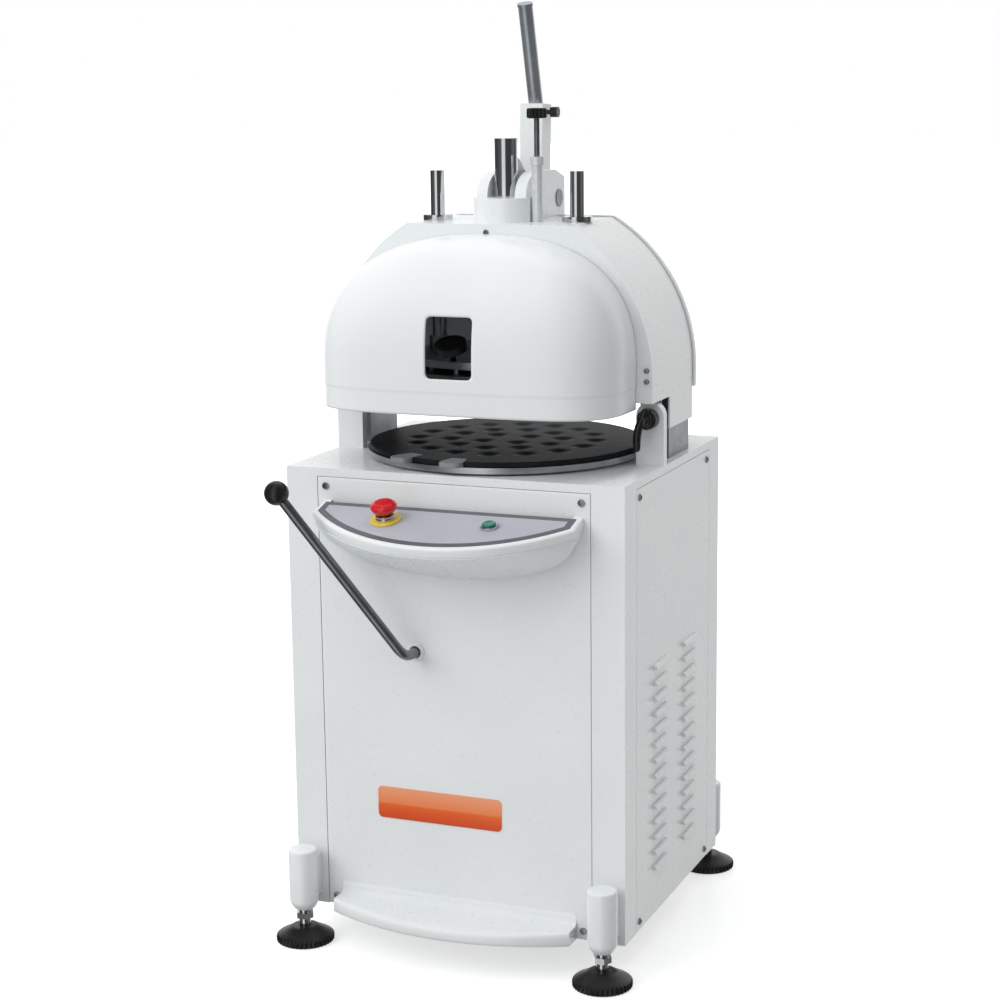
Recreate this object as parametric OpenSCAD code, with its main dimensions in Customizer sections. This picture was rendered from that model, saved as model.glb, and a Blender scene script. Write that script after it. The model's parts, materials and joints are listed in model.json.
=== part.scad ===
// Divider rounder for a bakery: a hand press and knife set over a cabinet with an orbiting table.
// Millimetres, +Z up, front towards -Y, origin on the floor under the middle of the outline.

/* [Cabinet] */
// Cabinet width
cab_w = 600; // [590:2:610]
// Cabinet depth
cab_d = 511; // [505:1:525]
// Height of the cabinet's top face
cab_top = 826; // [810:2:840]
// Height of the cabinet's lower edge
cab_bottom = 58; // [56:1:62]
// Side of a square corner post
corner = 57; // [52:1:58]
// Wall of a corner post
corner_wall = 3; // [2:0.5:5]
// Thickness of the sheet panels
sheet = 2.5; // [2:0.5:3]
// Gap around a panel
panel_gap = 1; // [0.5:0.5:2]
// Height of the top plate's folded edge
fold = 14; // [12:1:18]
// Distance of the top's opening from the table's edge
hole_in = 45; // [40:1:52]
// Width of a rail
rail_w = 20; // [16:1:24]
// Height of a rail
rail_h = 40; // [30:1:45]
// Space between a panel and the rail behind it
rail_gap = 3; // [2:0.5:4]
// Wall of the moulded console and apron
mould = 3; // [2:0.5:4]

/* [Console] */
// Distance of the console's ends from the panel's edges
console_in = 11; // [7:1:17]
// Reach of the console at its ends
console_side = 44; // [38:1:50]
// Reach of the console at its middle
console_out = 139; // [130:1:145]
// Depth of the console's back edge under the cabinet's top
console_drop = 53; // [48:1:58]
// Slope of the console's face in degrees
console_slope = 15.6; // [12:0.2:18]
// Thickness of the console's lip
console_lip = 17; // [15:1:20]
// Depth of the bowl under the lip, at the panel
console_body = 100; // [90:1:105]
// Step from the lip's edge to the bowl under it
console_step = 8; // [6:1:12]
// Height of the bowl's upright rim under the lip
console_rim = 10; // [6:1:14]
// White margin around the membrane
border_in = 9; // [7:1:12]
// Width of the membrane's dark border
border_w = 11; // [8:1:14]
// Thickness of the membrane
membrane_t = 0.8; // [0.5:0.1:1.2]
// Distance of each button from the middle
button_x = 91; // [80:1:100]
// Distance of the buttons from the panel, along the slope
button_v = 58; // [52:1:64]

/* [Apron] */
// Distance of the apron's ends from the panel's edges
apron_in = 27; // [22:1:32]
// Reach of the apron at its ends
apron_side = 38; // [32:1:44]
// Reach of the apron at its middle
apron_out = 95; // [85:1:105]
// Height of the apron
apron_h = 24; // [20:1:28]

/* [Buttons] */
// Radius of the stop button's yellow disc
collar_r = 26; // [24:1:28]
// Height of the stop button's neck
collar_h = 11; // [9:1:13]
// Thickness of the yellow disc
collar_t = 3; // [2:0.5:4]
// Radius of the stop button's neck
neck_r = 16.5; // [15:0.5:18]
// Radius of the stop button's cap
cap_r = 22; // [20:0.5:23]
// Height of the cap's straight rim
cap_h = 11; // [9:1:13]
// Height of the cap's dome
cap_dome = 7; // [5:1:8]
// Travel of the stop button
stop_travel = 4; // [3:0.5:5]
// Radius of the stop button's stem
stem_r = 9; // [7:0.5:10]
// Radius of the start button
start_r = 11; // [10:0.5:12]
// Width of the start button's chrome rim
bezel_w = 3.5; // [3:0.5:5]
// Height of the chrome rim
bezel_h = 5; // [4:0.5:6]
// Height of the start button over its rim
start_up = 3; // [2.5:0.5:4]
// Depth of the button stems under the console's face
stem_d = 12; // [10:1:14]
// Height of a switch box
switch_h = 18; // [15:1:20]
// Space around a stem inside its switch box
switch_in = 8; // [6:1:9]
// Wall of a switch box
switch_wall = 4; // [3:0.5:5]

/* [Panels] */
// Louvres in each column
louvre_n = 14; // [10:1:15]
// Height of one louvre to the next
louvre_pitch = 27; // [24:0.5:28]
// Length of a louvre
louvre_l = 70; // [60:1:76]
// Reach of a louvre's hood
louvre_r = 8; // [6:0.5:9]
// Wall of a louvre's hood
louvre_wall = 1.5; // [1:0.25:2]
// Height of the lowest louvre over the cabinet's lower edge
louvre_low = 82; // [70:1:95]
// Distance of the louvre columns from the middle
louvre_y = 80; // [70:1:90]
// Radius of a panel screw's head
screw_r = 6; // [5:0.5:7]
// Height of a panel screw's head
screw_h = 3; // [2:0.5:4]
// Radius of a panel screw's shank
shank_r = 2.5; // [2:0.25:3]
// Distance of a panel screw from the panel's edges
screw_in = 15; // [12:1:17]
// Width of the blank nameplate
plate_w = 226; // [210:2:240]
// Height of the blank nameplate
plate_h = 55; // [48:1:60]
// Height of the nameplate over the cabinet's lower edge
plate_z = 170; // [160:1:180]
// Sideways offset of the nameplate
plate_x = -30; // [-36:1:-24]
// Thickness of the nameplate
plate_t = 1.2; // [0.8:0.1:2]
// Corner radius of the nameplate
plate_r = 8; // [5:1:11]

/* [Feet] */
// Distance of a leg's axis from the cabinet's side
leg_in = 27.3; // [24:0.1:32]
// Distance of a leg's axis from the cabinet's face
leg_out = 35; // [32:1:38]
// Radius of a leg tube
leg_r = 25; // [23:0.5:27]
// Height of a leg tube
leg_h = 108; // [100:1:115]
// Height of the leg's tapered end
leg_cone = 13; // [10:1:16]
// Radius of the leg's lower end
leg_end_r = 17; // [16:0.5:19]
// Half width of the block between leg and cabinet
leg_block = 17; // [14:1:20]
// Height left free over and under that block
leg_block_in = 16; // [12:1:20]
// Radius of a foot
foot_r = 50; // [46:1:54]
// Height of the foot's rim
foot_rim = 12; // [10:1:14]
// Height of the whole foot
foot_h = 27; // [25:1:29]
// Radius of the foot's top
foot_top_r = 22; // [20:1:26]
// Depth of the spindle in the foot
foot_seat = 8; // [6:1:10]
// Radius of a foot's spindle
spindle_r = 10; // [8:0.5:11]
// Length of the spindle inside the leg
spindle_in = 45; // [35:1:55]
// Across-corners radius of the lock nut
nut_r = 16; // [15:0.5:17]
// Height of the lock nut
nut_h = 10; // [8:1:12]
// Gap between the lock nut and the leg
nut_gap = 6; // [4:1:8]

/* [Posts] */
// Width of a front post
post_w = 48; // [44:1:50]
// Thickness of a front post
post_t = 17; // [15:1:19]
// Height of a front post
post_h = 106; // [103:1:108]
// Place of the post's front face from the table's axis
post_y = -60; // [-64:1:-57]
// Thickness of a hinge plate
hinge_t = 16; // [13:1:17]
// Gap between a hinge plate and the skirt of the head
hinge_gap = 2; // [1.5:0.5:3]
// Front edge of the hinge plate
hinge_y0 = 10; // [6:1:30]
// Rear edge of the hinge plate
hinge_y1 = 120; // [117:1:122]
// Place of the head's hinge axis from the table's axis
tilt_y = 97; // [94:1:100]
// Radius of the hinge pin
tilt_r = 10; // [9:0.5:12]
// Radius of the head's hinge ear
ear_r = 25; // [20:1:26]

/* [Drive] */
// Depth of the bed plate's underside below the cabinet's top
bed_drop = 86; // [82:1:90]
// Thickness of the bed plate
bed_t = 12; // [10:1:14]
// Throw of the rounding table
throw = 10; // [7:0.5:11]
// Radius of the main shaft
shaft_r = 17.5; // [15:0.5:20]
// Radius of the main housing
housing_r = 45; // [38:1:48]
// Depth of the main housing under the bed plate
housing_d = 90; // [80:1:95]
// Width of a housing's flange
flange_w = 20; // [15:1:24]
// Thickness of a housing's flange
flange_t = 12; // [10:1:14]
// Radius of the eccentric's disc
disc_r = 40; // [36:1:44]
// Thickness of an eccentric's disc
disc_t = 16; // [14:1:18]
// Radius of the eccentric pin
pin_r = 15; // [13:0.5:17]
// Length of the eccentric pin
pin_l = 24; // [22:1:26]
// Distance of an idler crank from the edge of the opening
idler_in = 55; // [50:1:65]
// Distance of an idler crank behind the middle
idler_y = 50; // [40:1:60]
// Radius of an idler's shaft
idler_r = 10; // [8:0.5:12]
// Radius of an idler's pin
idler_pin_r = 8; // [7:0.5:9]
// Wall around an idler's shaft in its housing
idler_wall = 12; // [10:1:14]
// Running clearance of a shaft
run_fit = 0.05; // [0.03:0.01:0.1]
// Gap between a turning disc and its housing
face_gap = 0.4; // [0.3:0.1:1]
// Space between the two pulleys
pulley_space = 11; // [8:1:16]
// Outer radius of the motor pulley
motor_pulley_r = 42; // [40:1:46]
// Height of a pulley
pulley_h = 30; // [27:1:32]
// Rim of a pulley over and under the belt
pulley_rim = 6.5; // [6:0.25:7.5]
// Depth of the pulley groove
groove = 12; // [11:0.5:14]
// Thickness of the belt
belt_t = 9; // [8:0.5:10]
// Gap between belt and pulley
belt_gap = 0.4; // [0.3:0.1:0.6]
// Gap between the housing and the driven pulley
pulley_gap = 14; // [10:1:16]
// Distance of the motor's axis from the cabinet's back
motor_in = 90.5; // [86:0.5:95]
// Radius of the motor
motor_r = 68; // [62:1:70]
// Length of the motor
motor_l = 190; // [170:2:200]
// Radius of the motor's shaft
motor_shaft_r = 9.5; // [8:0.5:11]
// Thickness of the motor's mounting plate
mount_t = 10; // [8:1:12]
// Gap between the motor's plate and its pulley
mount_gap = 24; // [20:1:30]
// Half width of the motor's mounting plate
mount_x = 108; // [106:1:115]
// Reach of the motor's plate in front of the motor's axis
mount_front = 67; // [65:1:75]
// Gap between the motor's plate and the back panel
mount_back = 9; // [7:1:12]
// Radius of the mount's spacers
spacer_r = 8; // [6:0.5:9]

/* [Table] */
// Gap between the swinging table and the front posts
table_side = 2; // [1.5:0.5:4]
// Gap between the cabinet's top and the table
table_gap = 4; // [3:0.5:6]
// Thickness of the table disc
table_t = 10; // [8:0.5:11]
// Width of the rear lip on the table
lip_w = 3.5; // [3:0.25:4]
// Height of the rear lip
lip_h = 5; // [4:0.5:6]
// Radius of the table's hub
hub_r = 45; // [40:1:48]
// Radius of the table's bosses for the idler pins
boss_r = 20; // [16:1:22]
// Gap between the moulding plate and the lip
plate_gap = 0.5; // [0.4:0.1:0.8]
// Gap under the moulding plate
plate_lift = 0.4; // [0.3:0.1:0.6]
// Thickness of the moulding plate
mplate_t = 8; // [7.5:0.5:9]
// Radius of a dough cup in the moulding plate
cup_r = 24; // [21:0.5:25]
// Depth of a dough cup
cup_d = 5; // [3:0.5:5.5]
// Width of a hand tab on the moulding plate
tab_w = 44; // [38:1:48]
// Reach of a hand tab
tab_l = 24; // [18:1:28]

/* [Head] */
// Height of the hood's lower edge over the cabinet's top
head_gap = 101; // [100:0.5:106]
// Distance of the head's arch from the cabinet's side
arch_in = 9; // [8:0.5:11]
// Height of the arch's centre over the hood's lower edge
arch_up = 43; // [40:1:46]
// Flat top's height over the arch's centre, as a share of its radius
flat_share = 0.866; // [0.86:0.002:0.872]
// Thickness of the head's sheet covers
cover_t = 3; // [2.5:0.5:3]
// Front edge of the head band
band_y = -92; // [-94:1:-90]
// Depth of the head band
band_d = 20; // [17:1:24]
// Width of the band's front flange
band_flange = 63; // [60:1:66]
// Rear edge of the head shell
shell_y1 = 125; // [123:1:128]
// Height of the shell's front edge over the hood's
shell_up = 7; // [6:0.5:9]
// Depth of the shell's rear skirt under the hood's lower edge
skirt_d = 47; // [40:1:48]
// Depth of the rear cover behind the shell
rear_d = 85; // [80:1:86]
// Share of the arch left flat on the rear cover
rear_share = 0.72; // [0.66:0.02:0.8]
// Distance of the hood's side from the arch
hood_in = 30.2; // [28:0.2:34]
// Depth of the hood
hood_b = 163; // [156:1:175]
// Height of the hood's straight side
hood_side = 66; // [60:1:72]
// Depth of the hood's top under the head's flat top
hood_drop = 19; // [16:1:22]
// Plan squareness of the hood
hood_p = 4.2; // [3.4:0.1:4.6]
// Profile squareness of the hood
hood_q = 2.47; // [2.3:0.05:2.7]
// Width of the hood's window
window_w = 82; // [76:1:88]
// Height of the hood's window
window_h = 100; // [92:1:106]
// Height of the window over the hood's lower edge
window_up = 57; // [52:1:62]
// Corner radius of the window
window_r = 9; // [6:1:12]
// Gap between the head frame and a hinge plate
frame_gap = 3; // [2:0.5:4]
// Thickness of the head frame
frame_t = 14; // [12:0.5:15]
// Thickness of the head frame's top
frame_top = 15; // [13:1:16]
// Gap between a front post and the head's lug
lug_gap = 2; // [1.8:0.1:2.5]
// Rear edge of the head frame
frame_y1 = 115; // [113:1:118]
// Depth of a lug under the hood's lower edge
lug_d = 42; // [38:1:44]
// Thickness of a lug
lug_t = 15; // [13:1:17]
// Half width of the lug's slot
slot_w = 8.5; // [8:0.5:10]
// Radius of a cover screw's head
cover_screw_r = 4.5; // [3.5:0.5:5]

/* [Press] */
// Radius of the ram
ram_r = 20; // [19:0.5:21]
// Height of the ram over the head's flat top
ram_up = 138; // [134:1:142]
// Distance of the guide columns from the ram
guide_x = 127.5; // [122:0.5:128]
// Radius of a guide column
guide_r = 12.5; // [11:0.5:13]
// Height of the guide columns over the head's flat top
guide_up = 84; // [80:1:88]
// Outer radius of a guide bush
bush_r = 19; // [17:0.5:20]
// Radius of a guide bush's flange
bush_flange_r = 26; // [23:1:28]
// Thickness of that flange
bush_flange_t = 9; // [7:1:10]
// Length of a guide bush under the head's flat top
bush_d = 70; // [60:1:80]
// Height of the press pads over the hood's lower edge
pad_up = 5; // [4.5:0.5:6]
// Thickness of a press pad
pad_t = 14; // [12:1:16]
// Radius of a pad's rod
rod_r = 5; // [4:0.5:6]
// Stroke of the press
stroke = 60; // [56:1:61]
// Travel of the knife set in the press
knife_travel = 16; // [12:1:16]
// Radius of the ring knife
knife_r = 187; // [184:0.5:188]
// Thickness of the ring knife
ring_t = 3; // [2.5:0.5:3.5]
// Thickness of a knife blade
blade_t = 1.5; // [1.2:0.1:2]
// Gap between a pad and a knife
knife_gap = 0.8; // [0.6:0.1:1]
// Height of the knives above the pads' faces at rest
knife_set_in = 1; // [0.5:0.5:2]
// Gap between the lowered knife carrier and the pads
carrier_gap = 5; // [4:0.5:7]
// Thickness of the knife carrier
carrier_t = 12; // [10:1:14]
// Gap between the knife carrier and the press crown
crown_gap = 9; // [7:1:11]
// Radius of the press crown
crown_r = 172; // [165:1:176]
// Thickness of the press crown
crown_t = 12; // [10:1:14]
// Height of the collars on the press crown
crown_collar = 22; // [18:1:26]
// Wall of the collars on the press crown
crown_wall = 12; // [8:1:14]
// Sideways place of the depth stop
stop_x = 62; // [58:1:66]
// Front to back place of the depth stop
stop_y = -15; // [-20:1:-10]
// Radius of the depth stop's rod
stop_rod_r = 5; // [4:0.5:5.5]
// Radius of the depth stop's sleeve
sleeve_r = 9; // [8:0.5:10]
// Height of the sleeve
sleeve_h = 94; // [90:1:98]
// Height of the sleeve's collar
sleeve_collar_h = 14; // [12:1:15]
// Radius of the sleeve's collar
sleeve_collar_r = 12; // [11:0.5:14]
// Radius of the depth stop's knob
knob_r = 17; // [15:0.5:18]
// Height of the depth stop's knob
knob_h = 17; // [15:1:19]
// Gap under the depth stop's knob at full stroke
knob_gap = 3; // [2:0.5:4]
// Sideways place of the release knob
release_x = -38; // [-44:1:-30]
// Front to back place of the release knob
release_y = -148; // [-152:1:-142]
// Height of the release knob's stud
release_h = 20; // [16:1:24]
// Radius of the release knob
release_r = 27; // [24:1:29]
// Thickness of the release knob
release_t = 13; // [11:1:15]
// Depth of that stud in the press crown
release_in = 6; // [5:0.5:7]
// Forward tilt of the release knob, in degrees
release_tilt = 22; // [16:1:26]
// Sideways place of the return springs
spring_x = 72; // [68:1:80]
// Front to back place of the return springs
spring_y = 72; // [66:1:80]
// Outer radius of a return spring
spring_r = 9; // [8:0.5:11]
// Wire thickness of a return spring
spring_wire = 2; // [1.5:0.25:2.5]

/* [Press lever] */
// Radius of the bracket's boss
bracket_r = 57; // [54:1:60]
// Height of the bracket's boss
bracket_h = 40; // [37:1:41]
// Inner distance of a cheek from the middle
cheek_x = 25; // [23.5:0.5:27]
// Thickness of a cheek
cheek_t = 20; // [17:1:22]
// Height of a cheek
cheek_h = 81; // [77:1:84]
// Front edge of the cheeks
cheek_y0 = -25; // [-28:1:-20]
// Rear edge of the cheeks
cheek_y1 = 160; // [156:1:166]
// Front to back reach of a cheek's rounded front
cheek_round = 55; // [48:1:60]
// Length of a cheek's slanted rear corner
cheek_slant = 45; // [38:1:50]
// Height of that slanted corner
cheek_fall = 14; // [11:1:18]
// Thickness of the bracket's foot
bracket_foot = 6; // [5:0.5:8]
// Position of the lever's pivot from the ram's axis
pivot_y = 130; // [130:1:130]
// Height of the lever's pivot over the head's flat top
pivot_up = 31.5; // [31:0.5:32]
// Radius of the pivot shaft
pivot_r = 15; // [13:0.5:16]
// Reach of the pivot shaft past a cheek
pivot_out = 2; // [1:0.5:3]
// Radius of the lever's hub
lever_hub_r = 30; // [27:0.5:30.5]
// Half width of the lever arm
arm_x = 21.5; // [19:0.5:22.5]
// Step from the hub's side to the arm's side
arm_step = 1; // [0.5:0.25:2]
// Front to back size of the lever arm
arm_d = 42; // [38:1:46]
// Length of the lever arm
arm_l = 161; // [155:1:166]
// Lean of the lever arm towards the back, in degrees
arm_lean = 3.5; // [2.5:0.1:4.5]
// Radius of the lever's tube
tube_r = 12.5; // [11:0.5:13.5]
// Length of the lever's tube over its socket
tube_l = 176; // [168:1:184]
// Lean of the tube towards the front, in degrees
tube_lean = 15.5; // [14:0.5:17]
// Depth of the tube in its socket
tube_in = 24; // [20:1:28]
// Height of the tube's end cap
tube_cap = 5; // [4:1:7]
// Extra radius of the tube's end cap
tube_cap_w = 1; // [0.5:0.5:2]
// Teeth on a full circle of the lever's sector
sector_n = 59; // [59:1:59]
// Module of the rack and sector
gear_m = 4; // [4:1:4]
// Tooth height over the pitch line, in modules
addendum_share = 1; // [1:0.1:1]
// Tooth depth under the pitch line, in modules
dedendum_share = 1.25; // [1.2:0.05:1.3]
// Pressure angle in degrees
pressure = 20; // [20:1:20]
// Play between the rack's and the sector's teeth
backlash = 0.4; // [0.3:0.05:0.6]
// Thickness of the sector
sector_t = 14; // [12:1:16]
// Space beside the sector
sector_gap = 2; // [1.5:0.5:3]
// Radius of the sector's hub
sector_hub_r = 28; // [25:1:29]
// Radius of the socket's clamp knob
clamp_knob_r = 9; // [8:0.5:10]
// Length of the socket's clamp knob
clamp_knob_l = 13; // [11:1:15]
// Length of the clamp knob's stud
clamp_stud_l = 7; // [5:1:9]
// Radius of the clamp knob's stud
clamp_stud_r = 4; // [3:0.5:5]
// Depth of the clamp knob under the socket's top
clamp_knob_d = 14; // [14:1:18]

/* [Rounding lever] */
// Sideways place of the rounding lever's shaft
lever_x = -67; // [-72:1:-62]
// Depth of the rounding lever's shaft under the cabinet's top
lever_drop = 301; // [295:1:307]
// Radius of the rounding lever's rod
lever_r = 8.5; // [7.5:0.25:9]
// Extra radius of the weld at the rod's bend
lever_weld = 0.6; // [0.4:0.1:1]
// Distance of the rod's bend from the panel
lever_out = 60; // [54:1:64]
// Sideways reach of the rod to its knob
lever_dx = -195; // [-200:1:-188]
// Forward reach of the rod to its knob
lever_dy = -48; // [-52:1:-44]
// Upward reach of the rod to its knob
lever_dz = 276; // [268:1:284]
// Radius of the rounding lever's knob
lever_knob_r = 20.5; // [18:0.5:21]
// Depth of the rod in its knob
lever_knob_in = 12; // [9:1:14]
// Radius of the lever bush
lever_bush_r = 14; // [13:0.5:16]
// Extra radius of the bush's front ring
lever_ring_w = 4; // [3:0.5:5]
// Thickness of the bush's front ring
lever_ring_t = 8; // [6:1:10]
// Length of the bush behind the panel
lever_bush_l = 85; // [75:1:95]
// Radius of the lever's cam
cam_r = 30; // [27:1:31]
// Offset of the lever's cam
cam_off = 8; // [6:1:9]
// Thickness of the lever's cam
cam_t = 12; // [10:1:14]
// Width of the limit switch
limit_w = 28; // [24:1:32]
// Height of the limit switch
limit_h = 50; // [44:1:56]
// Height of the limit switch's arm
limit_arm_h = 18; // [14:1:22]
// Gap between the cam and the limit switch
limit_gap = 4; // [3:0.5:6]

/* [Clamp] */
// Height of the clamp's axis over the cabinet's top
clamp_up = 79; // [77:1:81]
// Radius of the clamp's hub
clamp_r = 17; // [15:0.5:18]
// Length of the clamp's hub
clamp_l = 26; // [22:1:30]
// Radius of the clamp's stud
stud_r = 6; // [5:0.5:7]
// Length of the clamp's arm
clamp_arm_l = 66; // [60:1:72]
// Width of the clamp's arm
clamp_arm_w = 15; // [13:1:17]
// Angle of the clamp's arm from straight down, in degrees
clamp_angle = 13; // [8:1:20]
// Length of the clamp's arm over the hub
clamp_tail = 17; // [14:1:17]

/* [Hidden] */
$fn = 72;
cut = 1;
white = [0.92, 0.93, 0.93];
black = [0.05, 0.05, 0.06];
steel = [0.62, 0.63, 0.65];
chrome = [0.8, 0.81, 0.83];
hx = cab_w / 2;
hy = cab_d / 2;
frame_z = cab_top - fold;
panel_w = cab_w - 2 * (corner + panel_gap);
side_w = cab_d - 2 * (corner + panel_gap);
console_w = panel_w - 2 * console_in;
apron_w = panel_w - 2 * apron_in;
panel_z0 = cab_bottom + panel_gap;
panel_z1 = frame_z - panel_gap;
leg_x = hx - leg_in;
leg_y = hy + leg_out;
shift_y = (hy + console_out - leg_y - foot_r) / 2;
console_z = cab_top - console_drop;
slope_out = console_out / cos(console_slope);
slope_side = console_side / cos(console_slope);
slope_rise = slope_out - slope_side;
slope_r = (pow(console_w / 2, 2) + pow(slope_rise, 2)) / (2 * slope_rise);
bowl_z = console_z - console_lip / cos(console_slope);
opening_share = 0.6;
stem_end = membrane_t - stem_d - mould;
switch_top = stem_end - stop_travel - mould;
table_r = hx - post_w - throw - table_side;
hole_r = table_r - hole_in;
idler_x = hole_r - idler_in;
motor_y = hy - motor_in;
mount_y0 = motor_y - mount_front;
mount_y1 = hy - sheet - mount_back;
driven_r = motor_y - motor_pulley_r - pulley_space;
bed_z = cab_top - bed_drop;
bed_top = bed_z + bed_t;
flange_top = bed_top + flange_t;
disc_z = flange_top + face_gap;
pin_z = disc_z + disc_t;
pin_top = pin_z + pin_l;
table_z = cab_top + table_gap;
table_top = table_z + table_t;
mplate_r = table_r - lip_w - plate_gap;
mplate_z = table_top + plate_lift;
mplate_top = mplate_z + mplate_t;
housing_z = bed_z - housing_d;
pulley_z = housing_z - pulley_gap - pulley_h;
belt_z = pulley_z + pulley_rim + belt_gap;
belt_h = pulley_h - 2 * (pulley_rim + belt_gap);
belt_r1 = driven_r - groove + belt_gap;
belt_r2 = motor_pulley_r - groove + belt_gap;
mount_z = pulley_z - mount_gap;
head_z = cab_top + head_gap;
arch_z = head_z + arch_up;
arch_r = hx - arch_in;
flat_up = arch_up + arch_r * flat_share;
flat_z = head_z + flat_up;
hood_a = arch_r - hood_in;
hood_h = flat_up - hood_drop;
hinge_x = arch_r - cover_t - hinge_gap;
frame_r = hinge_x - hinge_t - frame_gap;
tilt_z = cab_top + clamp_up;
shell_y0 = band_y + band_d + face_gap;
frame_y0 = post_y + post_t + lug_gap;
rear_y = shell_y1 + face_gap;
pad_z = head_z + pad_up;
pad_top = pad_z + pad_t;
carrier_z = pad_top + knife_travel + carrier_gap;
crown_z = carrier_z + carrier_t + crown_gap;
crown_top = crown_z + crown_t;
knife_z = pad_z + knife_set_in;
inner_r = knife_r - ring_t;
ring_counts = [4, 10, 16];
rod_share = 0.66;
pieces = ring_counts[0] + ring_counts[1] + ring_counts[2];
ring_r = [inner_r * sqrt(ring_counts[0] / pieces),
    inner_r * sqrt((ring_counts[0] + ring_counts[1]) / pieces), inner_r];
rod_radii = [ring_r[0] * rod_share, (ring_r[0] + ring_r[1]) / 2, (ring_r[1] + ring_r[2]) / 2];
knob_z = flat_z + sleeve_h + sleeve_collar_h + stroke + knob_gap;
pivot_z = flat_z + pivot_up;
pitch_r = gear_m * sector_n / 2;
gear_pitch = PI * gear_m;
rack_y = pivot_y - pitch_r;
tip_r = pitch_r + addendum_share * gear_m;
root_r = pitch_r - dedendum_share * gear_m;
base_r = pitch_r * cos(pressure);
play_angle = backlash / 4 / pitch_r * 180 / PI;
tooth_low = -1;
tooth_high = 6;
steps = 4;
socket_y = pivot_y + arm_l * sin(arm_lean);
socket_z = pivot_z + arm_l * cos(arm_lean);
lever_z = cab_top - lever_drop;
bend = [lever_x, -hy - lever_out, lever_z];
lever_d = [lever_dx, lever_dy, lever_dz];
knob_at = bend + lever_d;
rod_len = norm(lever_d);
cam_y = -hy + lever_bush_l + face_gap;
moon_steps = 36;
bowl_last = 78;
hood_steps = 14;
hood_turns = 40;
hood_last = 86;
arch_steps = 30;
tab_angles = [-90, -114];
half = 180;
half_share = 0.5;

// A box between two corners.
module box(a, b) {
    translate(a) cube(b - a);
}

// Copies on both sides of the middle plane.
module both() {
    children();
    mirror([1, 0, 0]) children();
}

// Copies at the four corners.
module four() {
    both() {
        children();
        mirror([0, 1, 0]) children();
    }
}

// A cylinder from a height upwards.
module disc(z, r, h) {
    translate([0, 0, z]) cylinder(r = r, h = h);
}

// A cylinder along +X.
module xcyl(r, l) {
    rotate([0, 90, 0]) cylinder(r = r, h = l);
}

// A cylinder along +Y.
module ycyl(r, l) {
    rotate([-90, 0, 0]) cylinder(r = r, h = l);
}

// Draws a profile in y and z between two places along x.
module along_x(x0, x1) {
    translate([x0, 0, 0]) rotate([90, 0, 90]) linear_extrude(x1 - x0) children();
}

// Draws a profile in x and z between two places along y.
module along_y(y0, y1) {
    translate([0, y1, 0]) rotate([90, 0, 0]) linear_extrude(y1 - y0) children();
}

// The turn that brings +Z to a direction.
function aim(d) = [0, acos(d[2] / norm(d)), atan2(d[1], d[0])];

// A straight rod in a given direction.
module rod_to(d, r, l) {
    rotate(aim(d)) cylinder(r = r, h = l);
}

// Points of the console's half-moon outline, drawn in by e, with its straight edge at back.
function moon_points(e, back) = let (x = console_w / 2 - e, r = slope_r - e, a = acos(x / r)) concat(
    [[x, back]], [for (i = [0 : moon_steps]) let (b = a + (half - 2 * a) * i / moon_steps)
        [r * cos(b), slope_out - slope_r + r * sin(b)]], [[-x, back]]);

// A rectangle with round corners about the origin.
module rounded(w, h, r) {
    square([w - 2 * r, h], center = true);
    square([w, h - 2 * r], center = true);
    for (x = [-1, 1]) for (y = [-1, 1]) translate([x * (w / 2 - r), y * (h / 2 - r)]) circle(r = r);
}

// Half-moon outline of a given width, end reach and middle reach.
module moon(w, side, out) {
    r = (w * w / 4 + pow(out - side, 2)) / (2 * (out - side));
    intersection() {
        translate([0, out - r]) circle(r = r, $fn = 180);
        translate([-w / 2, 0]) square([w, out]);
    }
}

// Moves to the console's face: y runs out along the slope, z is its normal, x is turned round.
module on_console() {
    translate([0, -hy, console_z]) rotate([console_slope, 0, 0]) rotate([0, 0, half]) children();
}

// Moves to a button's place, at a height over the console's face.
module at_button(side, z) {
    on_console() translate([side * button_x, button_v, z]) children();
}

// One level of the console's bowl, at an angle from its rim, with its back edge at y.
function bowl_ring(e, a, drop, y) = [for (p = moon_points(console_step + e, 0))
    let (v = p[1] == 0 ? y / cos(console_slope) : p[1] * (1 - sin(a)))
        [p[0] * cos(a), -hy - v * cos(console_slope), bowl_z - v * sin(console_slope) - drop]];

// The bowl's outer or inner solid.
module bowl(e, up, y) {
    h = console_body - console_rim - e;
    loft([for (i = [hood_steps : -1 : -1]) let (a = i < 0 ? 0 : bowl_last * i / hood_steps)
        bowl_ring(e, a, i < 0 ? -up : console_rim + h * sin(a), y)]);
}

// Places of the front's panel screws, as x and z.
function front_spots() = [for (x = [-1, 1]) for (z = [panel_z0 + screw_in, panel_z1 - screw_in])
    [x * (panel_w / 2 - screw_in), z]];

// Places of a side's panel screws, as y and z.
function side_spots() = [for (y = [-1, 1]) for (z = [panel_z0 + screw_in, panel_z1 - screw_in])
    [y * (side_w / 2 - screw_in), z]];

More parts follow.
